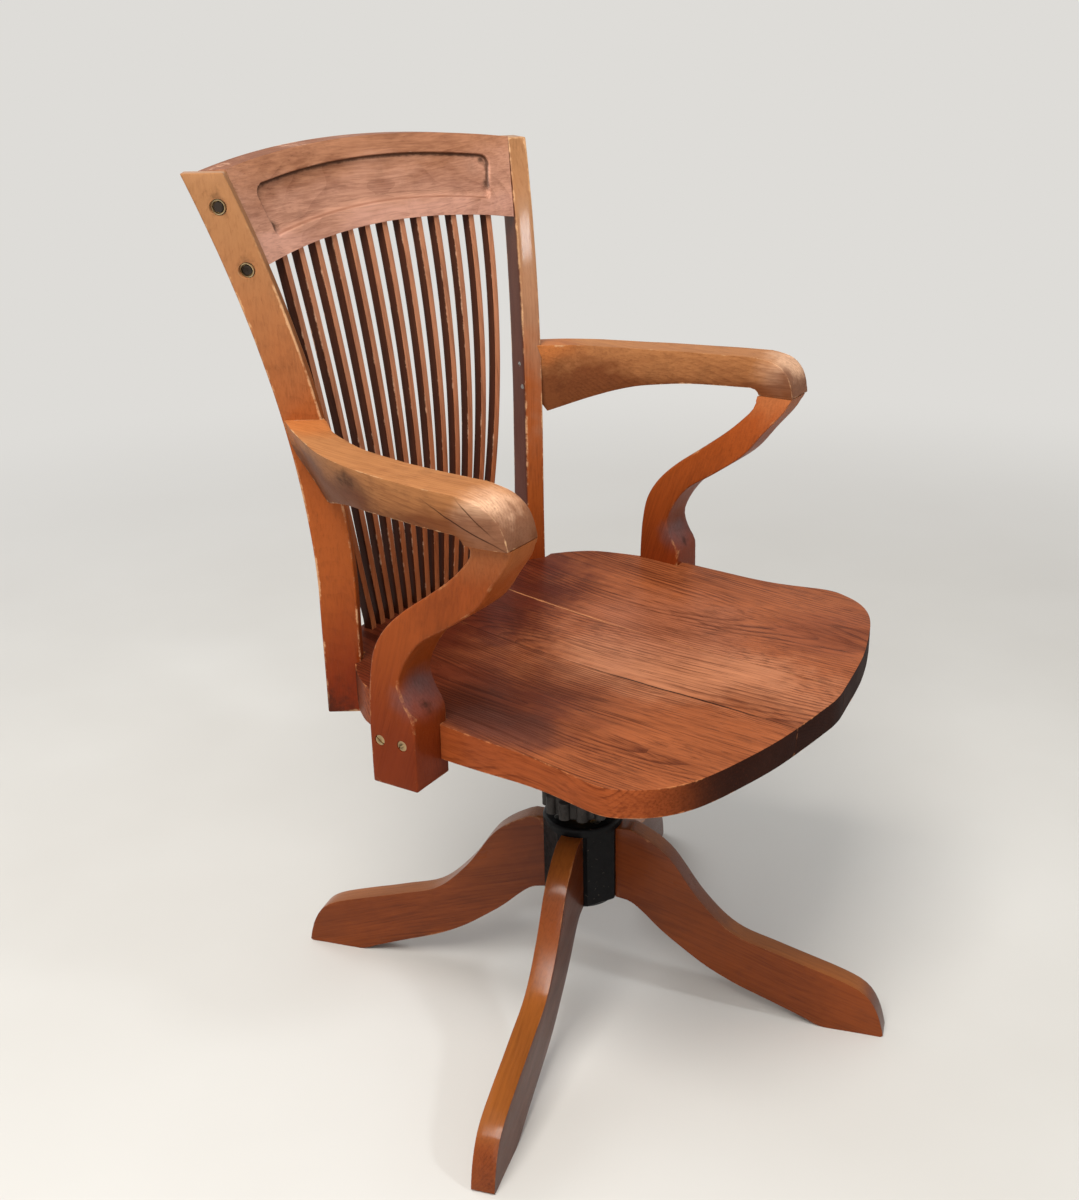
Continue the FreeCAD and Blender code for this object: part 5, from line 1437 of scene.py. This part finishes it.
def arm_wood():
    """Arms: worn pale at the nose, golden by the post, painted shade down the side, two cracks in the nose.
    """
    zones = [(place, (60 * MM, 48 * MM, 40 * MM), colour(218, 176, 144), 0.9)
             for place in paired(300, -105, 668)]
    zones += [(place, (60 * MM, 70 * MM, 30 * MM), colour(178, 104, 52), 0.7)
              for place in paired(205, 175, 690)]
    zones += [(place, (40 * MM, 45 * MM, 22 * MM), colour(104, 70, 48), 0.7)
              for place in paired(285, 60, 668)]
    long_cracks = [(point, (0, -0.39, 1), middle, (24 * MM, 60 * MM, 32 * MM), 0.9 * MM,
                    colour(48, 26, 16), 0.9)
                   for point, middle in zip(paired(304, -71, 664), paired(308, -76, 660))]
    short_cracks = [(point, (0, -0.88, 1), middle, (14 * MM, 30 * MM, 26 * MM), 0.9 * MM,
                     colour(60, 34, 20), 0.8)
                    for point, middle in zip(paired(304, -84, 676), paired(312, -92, 672))]
    # Painted shade on the arm below its top.
    return wood("arm_oak", (0.1, 1, 0), (0, 0, 1), colour(172, 116, 72), colour(126, 77, 44),
                colour(206, 164, 122), pith=(0.1, 0, 0.5), ring=3.6, figure=0.16, streaks=0.25, clouds=0.4,
                grime=0.7, wear=0.05, lines=0.2, rough=0.5, coat=0.06, zones=zones,
                falls=((0.690, 0.655, colour(94, 47, 23), 0.85),), seams=long_cracks + short_cracks)


def support_wood():
    """Arm supports: browner under the arm, redder below, grey dust with painted shade in the hollow, painted
    shade on the block.
    """
    # Grey dust in the hollow, darkened by painted shade.
    zones = [(place, (46 * MM, 32 * MM, 32 * MM), colour(98, 88, 90), 0.95)
             for place in paired(258, 12, 472)]
    # Painted shade on the block.
    zones += [(place, (50 * MM, 60 * MM, 44 * MM), colour(76, 40, 22), 0.75)
              for place in paired(270, 20, 405)]
    return wood("support_oak", (0, -0.3, 1), (1, 0, 0), colour(146, 70, 28), colour(100, 44, 16),
                colour(176, 122, 80), pith=(0.1, 0.3, 0.5), ring=3.0, figure=0.12, streaks=0.2, clouds=0.4,
                wear=-0.03, lines=0.12, pored=0.15, zones=zones,
                falls=((0.60, 0.65, colour(166, 100, 58), 0.7), (0.56, 0.42, colour(104, 38, 12), 0.9)))


def leg_wood(name, turn):
    """A leg: glossy red brown, golden on top as painted light, darker by the hub, and painted shade on the
    side away from the light.
    """
    heading = math.radians(BASE_TURN + turn)
    out = Vector((math.cos(heading), math.sin(heading), -0.3))
    by_hub = ((0, 0, 170 * MM), (120 * MM, 120 * MM, 110 * MM), colour(104, 46, 18), 0.7)
    # Painted light on the faces that look up, and painted shade on the side away from the key lamp.
    return wood(name + "_oak", out, (-math.sin(heading), math.cos(heading), 0), colour(130, 62, 23),
                colour(82, 35, 12), colour(160, 104, 62),
                pith=(0.2 * math.sin(heading), -0.2 * math.cos(heading), 0.3), ring=3.0, figure=0.12,
                streaks=0.25, clouds=0.45, rough=0.34, coat=0.3, shine=0.06, coat_rough=0.15,
                zones=(by_hub,), sides=(((0, 0, 1), colour(140, 84, 34), 0.6),
                                        (SHADED_SIDE, colour(70, 30, 11), 0.75)))


def seat_wood(name, pith, climb):
    """A seat board: bold figure, darker at the rear and near side, painted light on the near edge and
    painted shade on the front edge, and the joints as fine lines.
    """
    along = Vector((math.sin(BOARD_TURN), math.cos(BOARD_TURN), 0))
    across = Vector((along.y, -along.x, 0))
    right_joint = (BOARD_RIGHT, BOARD_LINE, 0.43)
    left_joint = (BOARD_LEFT, BOARD_LINE, 0.43)
    everywhere = ((0, 0, 0.43), (2, 2, 2))
    seams = ((right_joint, across, (-68 * MM, -140 * MM, 430 * MM), (120 * MM, 135 * MM, 60 * MM),
              1.5 * MM, colour(24, 10, 6), 1.0),
             (right_joint, across, *everywhere, 0.6 * MM, colour(52, 22, 12), 0.85),
             (left_joint, across, (70 * MM, 60 * MM, 440 * MM), (90 * MM, 130 * MM, 60 * MM),
              1.2 * MM, colour(206, 140, 92), 0.85),
             (left_joint, across, *everywhere, 0.6 * MM, colour(58, 26, 14), 0.6))
    # Painted light on the near edge, which faces the key lamp, and painted shade on the front edge.
    return wood(name + "_oak", along + Vector((0, 0, climb)), (0, 0, 1), colour(154, 85, 49),
                colour(90, 42, 22), colour(190, 122, 76), pith=pith, ring=3.2, figure=0.6, streaks=0.4,
                clouds=0.35, grime=0.7, rough=0.42, coat=0.06, wear=0.04, end_grain=0.97, lines=0.5,
                pored=0.5, zones=SEAT_ZONES, seams=seams,
                sides=(((-1, -0.2, -0.1), colour(138, 66, 30), 0.8),
                       ((0.6, -0.8, 0), colour(36, 14, 8), 0.85)))


# Metals and paint.
hub_paint = paint("black_hub_paint", colour(9, 9, 11), colour(66, 58, 50))
iron = metal("cast_iron", colour(52, 48, 46), colour(30, 26, 24), rough=0.55, metallic=0.6, pitting=0.6)
steel = metal("bare_steel", colour(150, 148, 144), colour(92, 80, 70), rough=0.32)
bronze = metal("bronze", colour(176, 128, 74), colour(104, 76, 50))
brass = metal("brass", colour(176, 150, 112), colour(58, 46, 34), rough=0.36, spread=1.0)
bolt_steel = metal("bolt_steel", colour(70, 62, 56), colour(42, 34, 28), rough=0.45)
ring_brass = metal("ring_brass", colour(188, 166, 128), colour(120, 96, 64), rough=0.36)
dowel_wood = wood("dowel_oak", (1, 0, 0), (0, 0, 1), colour(190, 130, 80), colour(140, 90, 50),
                  colour(210, 160, 110), pith=(0, 0, 0))

# Woodwork.
for side, side_word in ((RIGHT, "right"), (LEFT, "left")):
    make_post("back_post_" + side_word, side, post_wood(side))
slat_finish = slat_wood()
for slat_number in range(SLAT_COUNT):
    make_slat(slat_number, slat_finish)
make_rail(rail_wood())
arm_finish = arm_wood()
support_finish = support_wood()
for side, side_word in ((RIGHT, "right"), (LEFT, "left")):
    make_arm("arm_" + side_word, side, arm_finish)
    make_support("arm_support_" + side_word, side, support_finish)
make_seat({name: seat_wood(name, pith, climb) for name, (pith, climb) in SEAT_BOARDS.items()})
for leg_name, leg_angle in LEGS.items():
    make_leg(leg_name, leg_angle, leg_wood(leg_name, leg_angle))

# Spindle and screws.
make_spindle(steel)
quarters = [45 + 90 * quarter for quarter in range(4)]
for screws_name, screws_height, screws_way in (("hub_cap_screws", HUB_SCREW_TOP, -1),
                                               ("hub_plate_screws", HUB_SCREW_UNDER, 1)):
    make_screws(screws_name, HUB_SCREW,
                [(polar(HUB_SCREW_CIRCLE, BASE_TURN + turn, screws_height), (0, 0, screws_way))
                 for turn in quarters], steel, "base")
spider_places = []
for turn in quarters:
    beside = polar(SPIDER_SCREW_OFFSET, turn + 90, 0)
    spider_places += [(polar(SPIDER_SCREW_NEAR, turn, SPIDER_UNDER) + beside, (0, 0, 1)),
                      (polar(SPIDER_SCREW_FAR, turn, SPIDER_UNDER), (0, 0, 1))]
make_screws("spider_screws", SPIDER_SCREW, spider_places, steel, "seat")
make_screws("support_screws", SUPPORT_SCREW,
            [((side * SUPPORT_SCREW_X, y, z), (-side, 0, 0)) for side in SIDES for y, z in SUPPORT_SCREWS],
            brass, "seat", sunk=SUPPORT_SCREW_SUNK)
make_screws("arm_screws", ARM_SCREW,
            [(post_point(height, side, POST_WIDTH, rearward), -post_axes(height, side)[0])
             for side in SIDES for height, rearward in ARM_SCREWS],
            steel, "seat")
make_screws("post_screws", POST_SCREW,
            [(post_point(height, side, POST_WIDTH / 2, POST_DEPTH), -post_axes(height, side)[1])
             for side in SIDES for height in POST_SCREW_HEIGHTS],
            steel, "seat")

# CAD pieces that keep their shape.
node_finishes = {"hub": hub_paint, "hub_cap": hub_paint, "hub_plate": hub_paint, "height_nut": iron,
                 "seat_spider": iron, "spindle_pin": steel, "thrust_washer": steel,
                 "spindle_sleeve": bronze, "seat_dowels": dowel_wood, "arm_dowels": dowel_wood,
                 "rail_bolts": bolt_steel, "rail_bolt_washers": ring_brass}
for node_name, node_material in node_finishes.items():
    dress_node(node_name, node_material)

# Surroundings.
make_stage()
make_world()
for lamp in LAMPS:
    make_light(*lamp)
make_camera()
bpy.context.scene.view_settings.view_transform = "Standard"
